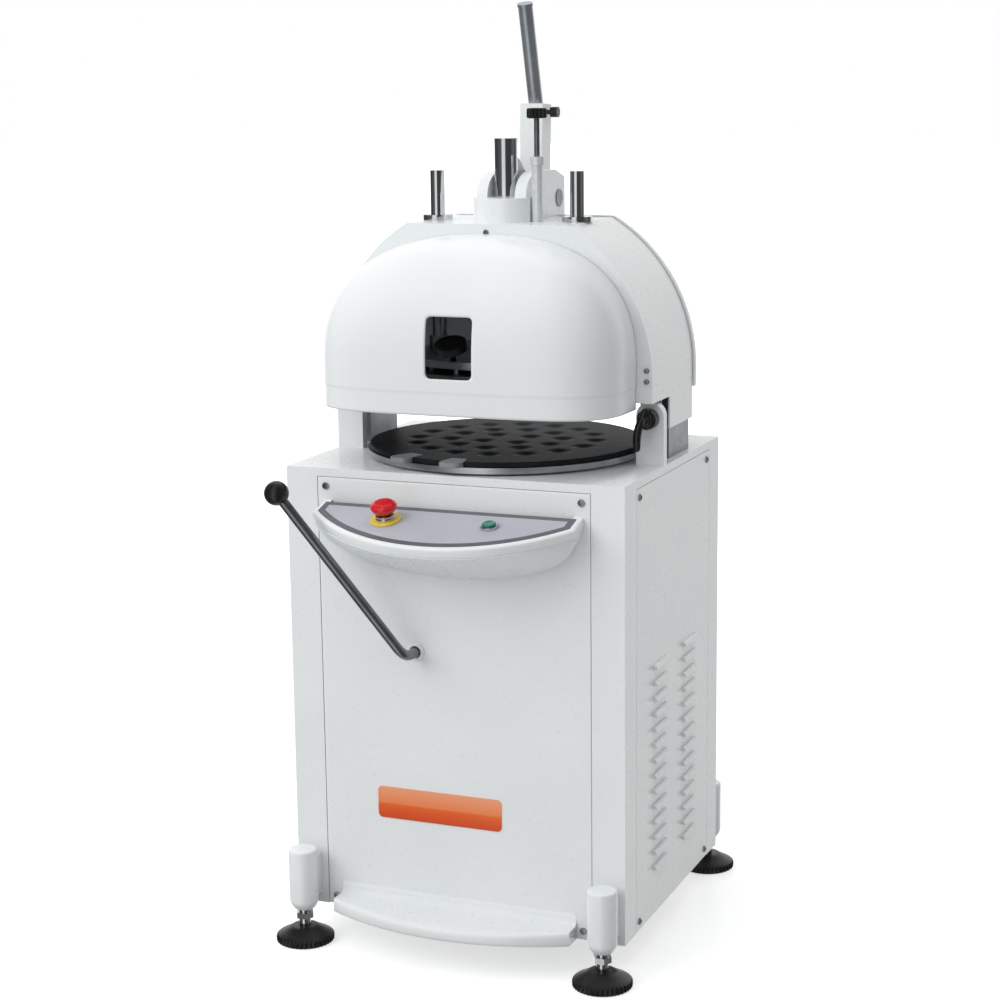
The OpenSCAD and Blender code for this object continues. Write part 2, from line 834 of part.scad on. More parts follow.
module cabinet_frame() {
    x1 = hx - sheet - rail_gap;
    y1 = hy - sheet - rail_gap;
    base_z = cab_bottom + corner_wall;
    color(white) union() {
        four() difference() {
            box([hx - corner, hy - corner, cab_bottom], [hx, hy, frame_z]);
            box([hx - corner + corner_wall, hy - corner + corner_wall, base_z],
                [hx - corner_wall, hy - corner_wall, frame_z + cut]);
        }
        box([corner - hx, corner - hy, cab_bottom], [hx - corner, hy - corner, base_z]);
        four() {
            box([0, y1 - rail_w, frame_z - rail_h], [hx - corner, y1, frame_z]);
            box([0, y1 - rail_w, cab_bottom], [hx - corner, y1, cab_bottom + rail_h]);
            box([0, hy - corner - cut, cab_bottom], [hx - corner, y1, base_z]);
            box([x1 - rail_w, 0, frame_z - rail_h], [x1, hy - corner, frame_z]);
            box([x1 - rail_w, 0, bed_z - rail_h], [x1, hy - corner, bed_z]);
            box([hx - corner - cut, 0, cab_bottom], [x1, hy - corner, base_z]);
        }
    }
}

module top_plate() {
    color(white) difference() {
        box([-hx, -hy, frame_z], [hx, hy, cab_top]);
        box([corner_wall - hx, corner_wall - hy, frame_z - cut],
            [hx - corner_wall, hy - corner_wall, cab_top - corner_wall]);
        disc(frame_z, hole_r, fold + cut);
    }
}

module front_panel() {
    x = console_w / 2 * opening_share;
    color(white) difference() {
        union() {
            box([-panel_w / 2, -hy, panel_z0], [panel_w / 2, sheet - hy, panel_z1]);
            translate([0, -hy, panel_z0]) rotate([0, 0, half]) linear_extrude(apron_h)
                moon(apron_w, apron_side, apron_out);
        }
        translate([0, -hy, panel_z0 - cut]) rotate([0, 0, half]) linear_extrude(apron_h - mould + cut)
            moon(apron_w - 2 * mould, apron_side - mould, apron_out - mould);
        box([-x, -hy - cut, bowl_z - console_body * opening_share],
            [x, sheet - hy + cut, bowl_z - console_rim]);
        translate([lever_x, -hy - cut, lever_z]) ycyl(lever_bush_r, sheet + 2 * cut);
        for (s = front_spots()) translate([s[0], -hy - cut, s[1]]) ycyl(shank_r, sheet + 2 * cut);
    }
}

module console_shell() {
    color(white) difference() {
        union() {
            on_console() translate([0, 0, -console_lip]) linear_extrude(console_lip)
                polygon(moon_points(0, 0));
            bowl(0, 0, 0);
        }
        on_console() translate([0, 0, mould - console_lip]) linear_extrude(console_lip - 2 * mould)
            polygon(moon_points(mould, -cut));
        bowl(mould, 2 * mould, -cut);
        box([-hx, -hy, cab_bottom], [hx, hy, cab_top]);
        at_button(1, -console_lip)
            cylinder(r = stem_r + face_gap, h = 2 * console_lip);
        at_button(-1, -console_lip)
            cylinder(r = start_r + face_gap, h = 2 * console_lip);
    }
}

module console_border() {
    color([0.22, 0.23, 0.25]) on_console() linear_extrude(membrane_t) difference() {
        polygon(moon_points(border_in, border_in));
        polygon(moon_points(border_in + border_w, border_in + border_w));
    }
}

module console_field() {
    color([0.64, 0.65, 0.7]) on_console() linear_extrude(membrane_t) difference() {
        polygon(moon_points(border_in + border_w, border_in + border_w));
        translate([button_x, button_v]) circle(r = stem_r + face_gap);
        translate([-button_x, button_v]) circle(r = start_r + face_gap);
    }
}

module stop_collar() {
    color([0.9, 0.72, 0.05]) at_button(1, membrane_t) difference() {
        union() {
            cylinder(r = collar_r, h = collar_t);
            cylinder(r = neck_r, h = collar_h);
        }
        disc(-cut, stem_r + face_gap, collar_h + 2 * cut);
    }
}

module start_bezel() {
    color(chrome) at_button(-1, membrane_t) difference() {
        cylinder(r = start_r + bezel_w, h = bezel_h);
        disc(-cut, start_r + face_gap, bezel_h + 2 * cut);
    }
}

module switch_boxes() {
    r = start_r + switch_in;
    color([0.2, 0.21, 0.22]) for (s = [-1, 1]) at_button(s, 0) difference() {
        disc(switch_top - switch_h, r + switch_wall, switch_h - switch_top - mould);
        disc(switch_top, r, -switch_top);
    }
}

module stop_button() {
    dome_r = (cap_r * cap_r + cap_dome * cap_dome) / (2 * cap_dome);
    low = membrane_t + collar_h + stop_travel + face_gap;
    color([0.75, 0.04, 0.05]) at_button(1, 0) union() {
        disc(stem_end, stem_r, low - stem_end);
        disc(low, cap_r, cap_h);
        intersection() {
            translate([0, 0, low + cap_h + cap_dome - dome_r]) sphere(r = dome_r);
            disc(low + cap_h, cap_r, cap_dome);
        }
    }
}

module start_button() {
    color([0.08, 0.42, 0.34]) at_button(-1, stem_end)
        cylinder(r = start_r, h = membrane_t + bezel_h + start_up - stem_end);
}

// One louvre hood on the right-hand panel.
module louvre(y, z) {
    translate([hx, y - louvre_l / 2, z]) difference() {
        intersection() {
            ycyl(louvre_r, louvre_l);
            box([-sheet / 2, 0, 0], [louvre_r, louvre_l, louvre_r]);
        }
        translate([0, louvre_wall, 0]) ycyl(louvre_r - louvre_wall, louvre_l - 2 * louvre_wall);
    }
}

module side_panels() {
    low = cab_bottom + louvre_low;
    y = louvre_l / 2 - louvre_wall;
    color(white) both() difference() {
        union() {
            difference() {
                box([hx - sheet, -side_w / 2, panel_z0], [hx, side_w / 2, panel_z1]);
                for (k = [0 : louvre_n - 1]) for (s = [-1, 1])
                    translate([0, s * louvre_y, low + k * louvre_pitch])
                        box([hx - sheet - cut, -y, 0], [hx + cut, y, louvre_r - louvre_wall - cut]);
            }
            for (k = [0 : louvre_n - 1]) for (s = [-1, 1]) louvre(s * louvre_y, low + k * louvre_pitch);
        }
        for (s = side_spots()) translate([hx - sheet - cut, s[0], s[1]]) xcyl(shank_r, sheet + 2 * cut);
    }
}

module back_panel() {
    color(white) difference() {
        box([-panel_w / 2, hy - sheet, panel_z0], [panel_w / 2, hy, panel_z1]);
        for (s = front_spots()) translate([s[0], hy - sheet - cut, s[1]]) ycyl(shank_r, sheet + 2 * cut);
    }
}

module panel_screws() {
    color(steel) {
        for (s = front_spots()) translate([s[0], -hy - screw_h, s[1]]) {
            ycyl(screw_r, screw_h);
            ycyl(shank_r, screw_h + sheet);
        }
        for (s = front_spots()) translate([s[0], hy - sheet, s[1]]) {
            ycyl(shank_r, screw_h + sheet);
            translate([0, sheet, 0]) ycyl(screw_r, screw_h);
        }
        both() for (s = side_spots()) translate([hx - sheet, s[0], s[1]]) {
            xcyl(shank_r, screw_h + sheet);
            translate([sheet, 0, 0]) xcyl(screw_r, screw_h);
        }
    }
}

module leg_sockets() {
    z = cab_bottom - face_gap;
    color(white) four() difference() {
        union() {
            translate([leg_x, leg_y, z]) cylinder(r1 = leg_end_r, r2 = leg_r, h = leg_cone);
            translate([leg_x, leg_y, z + leg_cone]) cylinder(r = leg_r, h = leg_h - leg_cone);
            box([leg_x - leg_block, hy, z + leg_block_in],
                [leg_x + leg_block, leg_y, z + leg_h - leg_block_in]);
        }
        translate([leg_x, leg_y, z - cut]) cylinder(r = spindle_r, h = spindle_in + cut);
    }
}

module foot_spindles() {
    z = cab_bottom - face_gap;
    color(chrome) four() translate([leg_x, leg_y, 0]) {
        disc(foot_h - foot_seat, spindle_r, z + spindle_in - foot_h + foot_seat);
        disc(z - nut_gap - nut_h, nut_r, nut_h, $fn = 6);
    }
}

module foot_pads() {
    color(black) four() translate([leg_x, leg_y, 0]) difference() {
        union() {
            cylinder(r = foot_r, h = foot_rim);
            translate([0, 0, foot_rim]) cylinder(r1 = foot_r, r2 = foot_top_r, h = foot_h - foot_rim);
        }
        disc(foot_h - foot_seat, spindle_r, foot_seat + cut);
    }
}

module nameplate() {
    color([0.85, 0.38, 0.1]) translate([plate_x, 0, cab_bottom + plate_z + plate_h / 2])
        along_y(-hy - plate_t, -hy) rounded(plate_w, plate_h, plate_r);
}

module lever_bush() {
    color(black) translate([lever_x, 0, lever_z]) difference() {
        union() {
            translate([0, -hy - lever_ring_t, 0]) ycyl(lever_bush_r + lever_ring_w, lever_ring_t);
            translate([0, -hy, 0]) ycyl(lever_bush_r, lever_bush_l);
        }
        translate([0, -hy - lever_ring_t - cut, 0])
            ycyl(lever_r + run_fit, lever_ring_t + lever_bush_l + 2 * cut);
    }
}

module limit_switch() {
    x0 = lever_x + cam_r + cam_off + limit_gap;
    color([0.15, 0.25, 0.42]) union() {
        box([x0, cam_y - face_gap, lever_z - limit_h / 2],
            [x0 + limit_w, cam_y + cam_t, lever_z + limit_h / 2]);
        difference() {
            box([lever_x, cam_y - face_gap - cam_t, lever_z - limit_arm_h / 2],
                [x0 + limit_w, cam_y - face_gap, lever_z + limit_arm_h / 2]);
            translate([lever_x, -hy, lever_z]) ycyl(lever_bush_r, lever_bush_l + cut);
        }
    }
}

module rounding_lever() {
    color([0.33, 0.34, 0.36]) union() {
        translate(bend) ycyl(lever_r, cam_y + cam_t - bend[1]);
        translate(bend) sphere(r = lever_r + lever_weld);
        translate(bend) rod_to(lever_d, lever_r, rod_len - lever_knob_r + lever_knob_in);
        translate([lever_x - cam_off, cam_y, lever_z]) ycyl(cam_r, cam_t);
    }
}

module lever_knob() {
    color(black) translate(knob_at) rotate(aim(lever_d)) difference() {
        sphere(r = lever_knob_r);
        disc(-2 * lever_knob_r, lever_r, lever_knob_r + lever_knob_in);
    }
}

module front_posts() {
    x = hx - post_w / 2;
    color(white) both() difference() {
        along_y(post_y, post_y + post_t) union() {
            translate([x - post_w / 2, cab_top]) square([post_w, post_h - post_w / 2]);
            translate([x, cab_top + post_h - post_w / 2]) circle(r = post_w / 2);
        }
        translate([x, post_y - cut, cab_top + clamp_up]) ycyl(stud_r + run_fit, post_t + 2 * cut);
    }
}

module hinge_plates() {
    color([0.4, 0.39, 0.36]) both() union() {
        difference() {
            box([hinge_x - hinge_t, hinge_y0, cab_top], [hinge_x, hinge_y1, tilt_z]);
            translate([hinge_x - hinge_t - cut, hinge_y0, tilt_z])
                xcyl(hinge_y1 - tilt_y, hinge_t + 2 * cut);
        }
        translate([hinge_x - hinge_t, tilt_y, tilt_z]) xcyl(hinge_y1 - tilt_y, hinge_t);
        translate([frame_r - frame_t, tilt_y, tilt_z]) xcyl(tilt_r, hinge_x - frame_r + frame_t);
    }
}

module head_clamp() {
    x = hx - post_w / 2;
    color(black) translate([x, 0, cab_top + clamp_up]) union() {
        translate([0, post_y - clamp_l, 0]) ycyl(clamp_r, clamp_l - face_gap);
        translate([0, post_y - cut, 0]) ycyl(stud_r, frame_y0 + lug_t - post_y + cut);
        rotate([0, clamp_angle, 0]) translate([0, post_y - clamp_l - clamp_arm_w, 0]) {
            box([-clamp_arm_w / 2, 0, clamp_tail - clamp_arm_l],
                [clamp_arm_w / 2, clamp_arm_w + cut, clamp_tail]);
            translate([0, 0, clamp_tail]) ycyl(clamp_arm_w / 2, clamp_arm_w + cut);
            translate([0, 0, clamp_tail - clamp_arm_l]) ycyl(clamp_arm_w / 2, clamp_arm_w + cut);
        }
    }
}

// Copies at both idler cranks.
module at_idlers() {
    both() translate([idler_x, idler_y, 0]) children();
}

module bed_plate() {
    x = hx - sheet - rail_gap - cut;
    color(steel) difference() {
        box([-x, corner - hy + cut, bed_z], [x, hy - corner - cut, bed_top]);
        disc(bed_z - cut, housing_r, bed_t + 2 * cut);
        at_idlers() disc(bed_z - cut, idler_r + idler_wall, bed_t + 2 * cut);
    }
}

module bearing_housings() {
    color([0.3, 0.33, 0.36]) {
        difference() {
            union() {
                disc(housing_z, housing_r, housing_d + bed_t);
                disc(bed_top, housing_r + flange_w, flange_t);
            }
            disc(housing_z - cut, shaft_r + run_fit, flange_top - housing_z + 2 * cut);
        }
        at_idlers() difference() {
            union() {
                disc(bed_z - rail_h, idler_r + idler_wall, rail_h + bed_t);
                disc(bed_top, idler_r + idler_wall + flange_w / 2, flange_t);
            }
            disc(bed_z - rail_h - cut, idler_r + run_fit, rail_h + bed_t + flange_t + 2 * cut);
        }
    }
}

module eccentric_shaft() {
    color(steel) union() {
        disc(pulley_z, shaft_r, disc_z - pulley_z + cut);
        disc(disc_z, disc_r, disc_t);
        translate([0, -throw, disc_z]) cylinder(r = pin_r, h = disc_t + pin_l);
    }
}

// A crank beside the main shaft, with the same throw.
module idler_crank() {
    color(steel) translate([idler_x, idler_y, 0]) union() {
        disc(bed_z - rail_h, idler_r, disc_z - bed_z + rail_h + cut);
        disc(disc_z, idler_r + idler_wall, disc_t);
        translate([0, -throw, disc_z]) cylinder(r = idler_pin_r, h = disc_t + pin_l);
    }
}

module idler_crank_left() {
    mirror([1, 0, 0]) idler_crank();
}

module idler_crank_right() {
    idler_crank();
}

module table_disc() {
    color([0.6, 0.61, 0.62]) translate([0, -throw, 0]) difference() {
        union() {
            disc(table_z, table_r, table_t, $fn = 180);
            disc(pin_z + face_gap, hub_r, table_z - pin_z);
            at_idlers() disc(pin_z + pin_l / 2, boss_r, table_z - pin_z - pin_l / 2 + cut);
            difference() {
                disc(table_top - cut, table_r, lip_h + cut, $fn = 180);
                disc(table_top - 2 * cut, table_r - lip_w, lip_h + 3 * cut, $fn = 180);
                box([-hx, -hx, table_top - 2 * cut], [hx, lip_h, table_top + lip_h + cut]);
            }
        }
        disc(pin_z - cut, pin_r + run_fit, pin_l + 2 * cut);
        at_idlers() disc(pin_z - cut, idler_pin_r + run_fit, pin_l + 2 * cut);
    }
}

module moulding_plate() {
    bowl_r = (cup_r * cup_r + cup_d * cup_d) / (2 * cup_d);
    tab_x = mplate_r + tab_l - tab_w / 2;
    color([0.12, 0.13, 0.14]) translate([0, -throw, 0]) difference() {
        union() {
            disc(mplate_z, mplate_r, mplate_t, $fn = 180);
            for (a = tab_angles) rotate([0, 0, a]) {
                box([mplate_r - tab_w / 2, -tab_w / 2, mplate_z], [tab_x, tab_w / 2, mplate_top]);
                translate([tab_x, 0, mplate_z]) cylinder(r = tab_w / 2, h = mplate_t);
            }
        }
        at_pads() translate([0, 0, mplate_top - cup_d + bowl_r]) sphere(r = bowl_r);
    }
}

// A grooved pulley at the origin.
module pulley(r) {
    cylinder(r = r - groove, h = pulley_h);
    cylinder(r = r, h = pulley_rim);
    disc(pulley_h - pulley_rim, r, pulley_rim);
}

module driven_pulley() {
    color(steel) translate([0, 0, pulley_z]) difference() {
        pulley(driven_r);
        disc(-cut, shaft_r, pulley_h + 2 * cut);
    }
}

module motor_pulley() {
    color(steel) translate([0, motor_y, 0]) union() {
        translate([0, 0, pulley_z]) pulley(motor_pulley_r);
        translate([0, 0, mount_z - mount_t - rail_h + cut])
            cylinder(r = motor_shaft_r, h = pulley_z - mount_z + mount_t + rail_h);
    }
}

// Outline of a loop round both pulleys.
module loop(r1, r2) {
    a = asin((r1 - r2) / motor_y);
    circle(r = r1, $fn = 180);
    translate([0, motor_y]) circle(r = r2, $fn = 90);
    polygon([[r1 * cos(a), r1 * sin(a)], [r2 * cos(a), motor_y + r2 * sin(a)],
        [-r2 * cos(a), motor_y + r2 * sin(a)], [-r1 * cos(a), r1 * sin(a)]]);
}

module drive_belt() {
    color(black) translate([0, 0, belt_z]) linear_extrude(belt_h) difference() {
        loop(belt_r1 + belt_t, belt_r2 + belt_t);
        loop(belt_r1, belt_r2);
    }
}

module motor_mount() {
    color([0.3, 0.33, 0.36]) union() {
        difference() {
            box([-mount_x, mount_y0, mount_z - mount_t], [mount_x, mount_y1, mount_z]);
            translate([0, motor_y, 0])
                disc(mount_z - mount_t - cut, motor_shaft_r + switch_in, mount_t + 2 * cut);
        }
        both() for (y = [mount_y0 + spacer_r + cut, hy - corner - cut - spacer_r])
            translate([mount_x - spacer_r - cut, y, mount_z]) cylinder(r = spacer_r, h = bed_z - mount_z);
    }
}

module motor() {
    z1 = mount_z - mount_t;
    color([0.25, 0.32, 0.4]) difference() {
        union() {
            translate([0, motor_y, z1 - motor_l]) cylinder(r = motor_r, h = motor_l);
            translate([0, motor_y, z1 - motor_l - fold]) cylinder(r = motor_r - fold / 2, h = fold);
            box([-motor_r - fold, motor_y - rail_h / 2, z1 - motor_l / 2 - rail_h / 2],
                [0, motor_y + rail_h / 2, z1 - motor_l / 2 + rail_h / 2]);
        }
        translate([0, motor_y, z1 - rail_h]) cylinder(r = motor_shaft_r + run_fit, h = rail_h + cut);
    }
}

// Solid arch outline of a given radius between two heights.
module arch(r, z0, z1) {
    intersection() {
        union() {
            translate([0, arch_z]) circle(r = r, $fn = 180);
            translate([-r, z0]) square([2 * r, arch_z - z0]);
        }
        translate([-r, z0]) square([2 * r, z1 - z0]);
    }
}

// Copies at both guide columns.
module at_guides() {
    both() translate([guide_x, 0, 0]) children();
}

// Openings through the head's top for the press parts, from a given height.
module top_holes(z0, h) {
    disc(z0, ram_r + sector_gap, h);
    at_guides() disc(z0, bush_r, h);
    translate([stop_x, stop_y, z0]) cylinder(r = stop_rod_r + sector_gap, h = h);
    box([-sector_t / 2 - sector_gap, rack_y - sector_gap, z0], [sector_t / 2 + sector_gap, pivot_y, z0 + h]);
}

module head_frame() {
    top = flat_z - cover_t;
    x0 = frame_r - frame_t;
    lug_x = hinge_x - cut;
    color([0.5, 0.51, 0.52]) difference() {
        union() {
            along_y(frame_y0, frame_y1) difference() {
                union() {
                    arch(frame_r, head_z + 2 * shell_up, top);
                    intersection() {
                        arch(arch_r - cover_t - cut, head_z, top);
                        translate([-hx, top - frame_top]) square([cab_w, frame_top]);
                    }
                }
                arch(x0, head_z, top - frame_top);
            }
            both() {
                box([x0, tilt_y - ear_r, tilt_z], [frame_r, frame_y1, head_z + 3 * shell_up]);
                translate([x0, tilt_y, tilt_z]) xcyl(ear_r, frame_t);
                box([x0, frame_y0, head_z - lug_d], [lug_x, frame_y0 + lug_t, head_z + lug_d]);
            }
        }
        top_holes(top - bush_d, bush_d + cut);
        both() {
            translate([x0 - cut, tilt_y, tilt_z]) xcyl(tilt_r + run_fit, frame_t + 2 * cut);
            translate([hx - post_w / 2, frame_y0 - cut, tilt_z]) ycyl(slot_w, lug_t + 2 * cut);
            box([hx - post_w / 2 - slot_w, frame_y0 - cut, head_z - lug_d - cut],
                [hx - post_w / 2 + slot_w, frame_y0 + lug_t + cut, tilt_z]);
        }
    }
}

module head_shell() {
    color(white) difference() {
        along_y(shell_y0, shell_y1) difference() {
            arch(arch_r, head_z - skirt_d, flat_z);
            arch(arch_r - cover_t, head_z - skirt_d - cut, flat_z - cover_t);
        }
        box([-hx, shell_y0 - cut, head_z - skirt_d - cut], [hx, 0, head_z + shell_up]);
        top_holes(flat_z - cover_t - cut, cover_t + 2 * cut);
    }
}

module head_band() {
    r = arch_r - band_flange;
    color(white) union() {
        along_y(band_y, band_y + band_d) difference() {
            arch(arch_r, head_z + shell_up, flat_z);
            arch(arch_r - cover_t, head_z + shell_up - cut, flat_z - cover_t);
        }
        along_y(band_y, band_y + cover_t) difference() {
            arch(arch_r, head_z + shell_up, flat_z);
            arch(r, head_z + shell_up - cut, arch_z + r + cut);
        }
    }
}

// A solid through rings of points, closed at both ends.
module loft(rings) {
    n = len(rings[0]);
    m = len(rings);
    polyhedron(points = [for (r = rings) each r], faces = concat(
        [[for (j = [n - 1 : -1 : 0]) j]],
        [for (i = [0 : m - 2]) for (j = [0 : n - 1]) let (a = i * n + j, b = i * n + (j + 1) % n)
            each [[a, b, b + n], [a, b + n, a + n]]],
        [[for (j = [0 : n - 1]) (m - 1) * n + j]]));
}

// Power of a cosine or sine with its sign.
function spow(v, p) = sign(v) * pow(abs(v), p);

// One level of the hood: plan scaled by k at height z, drawn in by e.
function hood_ring(k, z, e, back) = [for (i = [0 : hood_turns]) let (a = half * i / hood_turns)
    [(hood_a - e) * k * spow(cos(a), 2 / hood_p), i == 0 || i == hood_turns ? back
        : back - (hood_b - e + back - band_y) * k * spow(sin(a), 2 / hood_p), z]];

// The hood's outer or inner solid.
module hood_solid(e, low, back) {
    z0 = head_z + hood_side;
    h = hood_h - hood_side - e;
    loft([for (i = [-1 : hood_steps]) let (a = hood_last * i / hood_steps) i < 0 ? hood_ring(1, low, e, back)
        : hood_ring(pow(cos(a), 2 / hood_q), z0 + h * pow(sin(a), 2 / hood_q), e, back)]);
}

module hood() {
    z = head_z + window_up + window_h / 2;
    color(white) difference() {
        hood_solid(0, head_z, band_y - face_gap);
        hood_solid(cover_t, head_z - cut, band_y + cut);
        along_y(band_y - 2 * hood_b, band_y - hood_b / 2) translate([0, z])
            rounded(window_w, window_h, window_r);
    }
}

// Points of the head's arch, scaled by k about the middle of its lower edge.
function arch_ring(k, y, r, top, low) = let (step = asin((top - arch_z) / r) / arch_steps,
    side = concat([[r * k, low]], [for (i = [0 : arch_steps])
        [r * k * cos(step * i), low + k * (arch_z - low + r * sin(step * i))]]))
    [for (i = [0 : 2 * arch_steps + 3]) let (p = side[i < len(side) ? i : 2 * len(side) - 1 - i])
        [i < len(side) ? p[0] : -p[0], y, p[1]]];

// The rear cover's outer or inner solid.
module rear_solid(e, y0, low) {
    loft([for (i = [-1 : hood_steps]) i < 0 ? arch_ring(1, y0, arch_r - e, flat_z - e, low)
        : arch_ring(1 - (1 - rear_share) * (1 - cos(half / 2 * i / hood_steps)),
        rear_y + cut + (rear_d - e - cut) * sin(half / 2 * i / hood_steps), arch_r - e, flat_z - e, low)]);
}

module rear_cover() {
    low = head_z + shell_up;
    color(white) difference() {
        rear_solid(0, rear_y, low);
        rear_solid(cover_t, rear_y - cut, low - cut);
    }
}

module lever_bracket() {
    round_n = 12;
    color(white) difference() {
        union() {
            disc(flat_z, bracket_r, bracket_h);
            box([-cheek_x - cheek_t, 0, flat_z], [cheek_x + cheek_t, cheek_y1, flat_z + bracket_foot]);
            both() along_x(cheek_x, cheek_x + cheek_t) translate([0, flat_z]) polygon(concat(
                [[cheek_y1, 0], [cheek_y0, 0]],
                [for (i = [0 : round_n]) [cheek_y0 + cheek_round * (1 - cos(half / 2 * i / round_n)),
                    bracket_h + (cheek_h - bracket_h) * sin(half / 2 * i / round_n)]],
                [[cheek_y1 - cheek_slant, cheek_h], [cheek_y1, cheek_h - cheek_fall]]));
        }
        disc(flat_z - cut, ram_r + run_fit, bracket_h + 2 * cut);
        box([-sector_t / 2 - sector_gap, rack_y - sector_gap, flat_z - cut],
            [sector_t / 2 + sector_gap, cheek_y1 - bracket_foot, flat_z + bracket_h + cut]);
        box([-cheek_x, pivot_y - lever_hub_r - sector_gap, flat_z - cut],
            [cheek_x, cheek_y1 - bracket_foot, flat_z + bracket_h]);
        translate([-hx, pivot_y, pivot_z]) xcyl(pivot_r + run_fit, cab_w);
        translate([stop_x, stop_y, flat_z - cut]) cylinder(r = sleeve_collar_r + cut, h = cheek_h + 2 * cut);
    }
}

module guide_bushes() {
    color(chrome) at_guides() difference() {
        union() {
            disc(flat_z - bush_d, bush_r, bush_d);
            disc(flat_z, bush_flange_r, bush_flange_t);
        }
        disc(flat_z - bush_d - cut, guide_r + run_fit, bush_d + bush_flange_t + 2 * cut);
    }
}

module stop_sleeve() {
    color(chrome) translate([stop_x, stop_y, flat_z]) difference() {
        union() {
            cylinder(r = sleeve_r, h = sleeve_h);
            disc(sleeve_h, sleeve_collar_r, sleeve_collar_h);
        }
        disc(-cut, stop_rod_r + face_gap, sleeve_h + sleeve_collar_h + 2 * cut);
    }
}

module cover_screws() {
    side_x = arch_r - 2 * cover_screw_r;
    color(black) {
        translate([0, band_y - screw_h, head_z + hood_h + cover_screw_r + cut]) ycyl(cover_screw_r, screw_h);
        both() for (z = [arch_z, arch_z + 4 * cover_screw_r])
            translate([side_x - cut, band_y - screw_h, z]) ycyl(cover_screw_r, screw_h);
    }
}

module return_springs() {
    color(steel) both() translate([spring_x, spring_y, crown_top]) difference() {
        cylinder(r = spring_r, h = flat_z - cover_t - frame_top - crown_top);
        disc(-cut, spring_r - spring_wire, flat_z - crown_top);
    }
}

// The involute angle in degrees.
function involute(a) = tan(a) * half / PI - a;

// Half the angle of a sector tooth at a radius.
function tooth_half(r) = half / 2 / sector_n - play_angle + involute(pressure) - involute(acos(base_r / r));

// A point on the sector, at a radius and an angle up from straight forwards.
function sector_point(r, a) = [pivot_y - r * cos(a), pivot_z + r * sin(a)];

// The outline of one sector tooth.
function sector_tooth(k) = [for (i = [-steps : steps]) for (side = i == 0 ? [-1, 1] : [sign(i)])
    let (r = tip_r - (tip_r - root_r) * abs(i) / steps)
        sector_point(r, k * 2 * half / sector_n + side * tooth_half(r))];

module lever_sector() {
    color(steel) difference() {
        union() {
            along_x(-sector_t / 2, sector_t / 2) polygon(concat([[pivot_y, pivot_z]],
                [for (k = [tooth_low : tooth_high]) each sector_tooth(k)]));
            translate([-sector_t / 2, pivot_y, pivot_z]) xcyl(sector_hub_r, sector_t);
        }
        translate([-hx, pivot_y, pivot_z]) xcyl(pivot_r, cab_w);
    }
}

// The place of the tube in its socket.
module at_socket() {
    translate([0, socket_y, socket_z]) rotate([tube_lean, 0, 0]) children();
}

module lever_arm() {
    color(white) difference() {
        union() {
            translate([-arm_x, pivot_y, pivot_z]) xcyl(lever_hub_r, 2 * arm_x);
            translate([0, pivot_y, pivot_z]) rotate([-arm_lean, 0, 0])
                box([arm_step - arm_x, -arm_d / 2, 0], [arm_x - arm_step, arm_d / 2, arm_l]);
        }
        translate([-sector_t / 2, pivot_y, pivot_z]) xcyl(sector_hub_r, sector_t);
        along_x(-sector_t / 2, sector_t / 2) polygon([[pivot_y, pivot_z], sector_point(tip_r, -half / 4),
            sector_point(tip_r, 0), sector_point(tip_r, half / 4 + tooth_high)]);
        translate([-hx, pivot_y, pivot_z]) xcyl(pivot_r, cab_w);
        at_socket() rotate([0, 0, half / 2]) disc(-tube_in, tube_r, 3 * tube_in);
        translate([0, socket_y, socket_z - clamp_knob_d]) xcyl(clamp_stud_r + run_fit, hx);
    }
}

module pivot_shaft() {
    x = cheek_x + cheek_t + pivot_out;
    color([0.2, 0.2, 0.21]) translate([-x, pivot_y, pivot_z]) xcyl(pivot_r, 2 * x);
}

module lever_tube() {
    color([0.6, 0.63, 0.66]) at_socket() union() {
        disc(-tube_in, tube_r, tube_in + tube_l);
        disc(tube_l - tube_cap, tube_r + tube_cap_w, tube_cap);
    }
}

module socket_knob() {
    color(black) translate([0, socket_y, socket_z - clamp_knob_d]) union() {
        translate([tube_r + face_gap + cut, 0, 0])
            xcyl(clamp_stud_r, arm_x + clamp_stud_l - tube_r - face_gap);
        translate([arm_x + clamp_stud_l, 0, 0]) xcyl(clamp_knob_r, clamp_knob_l);
    }
}

// Half the width of a rack gap at y, with room for the sector's play.
function rack_half(y) = gear_pitch / 4 + backlash / 4 + (y - rack_y) * tan(pressure);

module ram() {
    low = pivot_z + (tooth_low - half_share) * gear_pitch;
    high = pivot_z + (tooth_high + half_share) * gear_pitch;
    deep = rack_y - dedendum_share * gear_m;
    tip = rack_y + addendum_share * gear_m;
    out = ram_r + cut;
    color(chrome) difference() {
        disc(crown_top, ram_r, flat_z + ram_up - crown_top);
        along_x(-out, out) polygon(concat([[out, low], [tip, low]],
            [for (k = [tooth_low : tooth_high]) for (p = [[tip, -1], [deep, -1], [deep, 1], [tip, 1]])
                [p[0], pivot_z + k * gear_pitch + p[1] * rack_half(p[0])]], [[tip, high], [out, high]]));
    }
}

module guide_columns() {
    color(chrome) at_guides() disc(crown_top, guide_r, flat_z + guide_up - crown_top);
}

// The place and lean of the release knob on the press crown.
module at_release() {
    translate([release_x, release_y, crown_top]) rotate([release_tilt, 0, 0]) children();
}

module press_crown() {
    color([0.7, 0.71, 0.72]) difference() {
        union() {
            disc(crown_z, crown_r, crown_t, $fn = 180);
            disc(crown_top, ram_r + crown_wall, crown_collar);
            at_guides() disc(crown_top, guide_r + crown_wall / 2, crown_collar);
        }
        disc(crown_top, ram_r, crown_collar + cut);
        at_guides() disc(crown_top, guide_r, crown_collar + cut);
        at_release() disc(-release_in - cut, rod_r + run_fit, 2 * release_in + cut);
    }
}

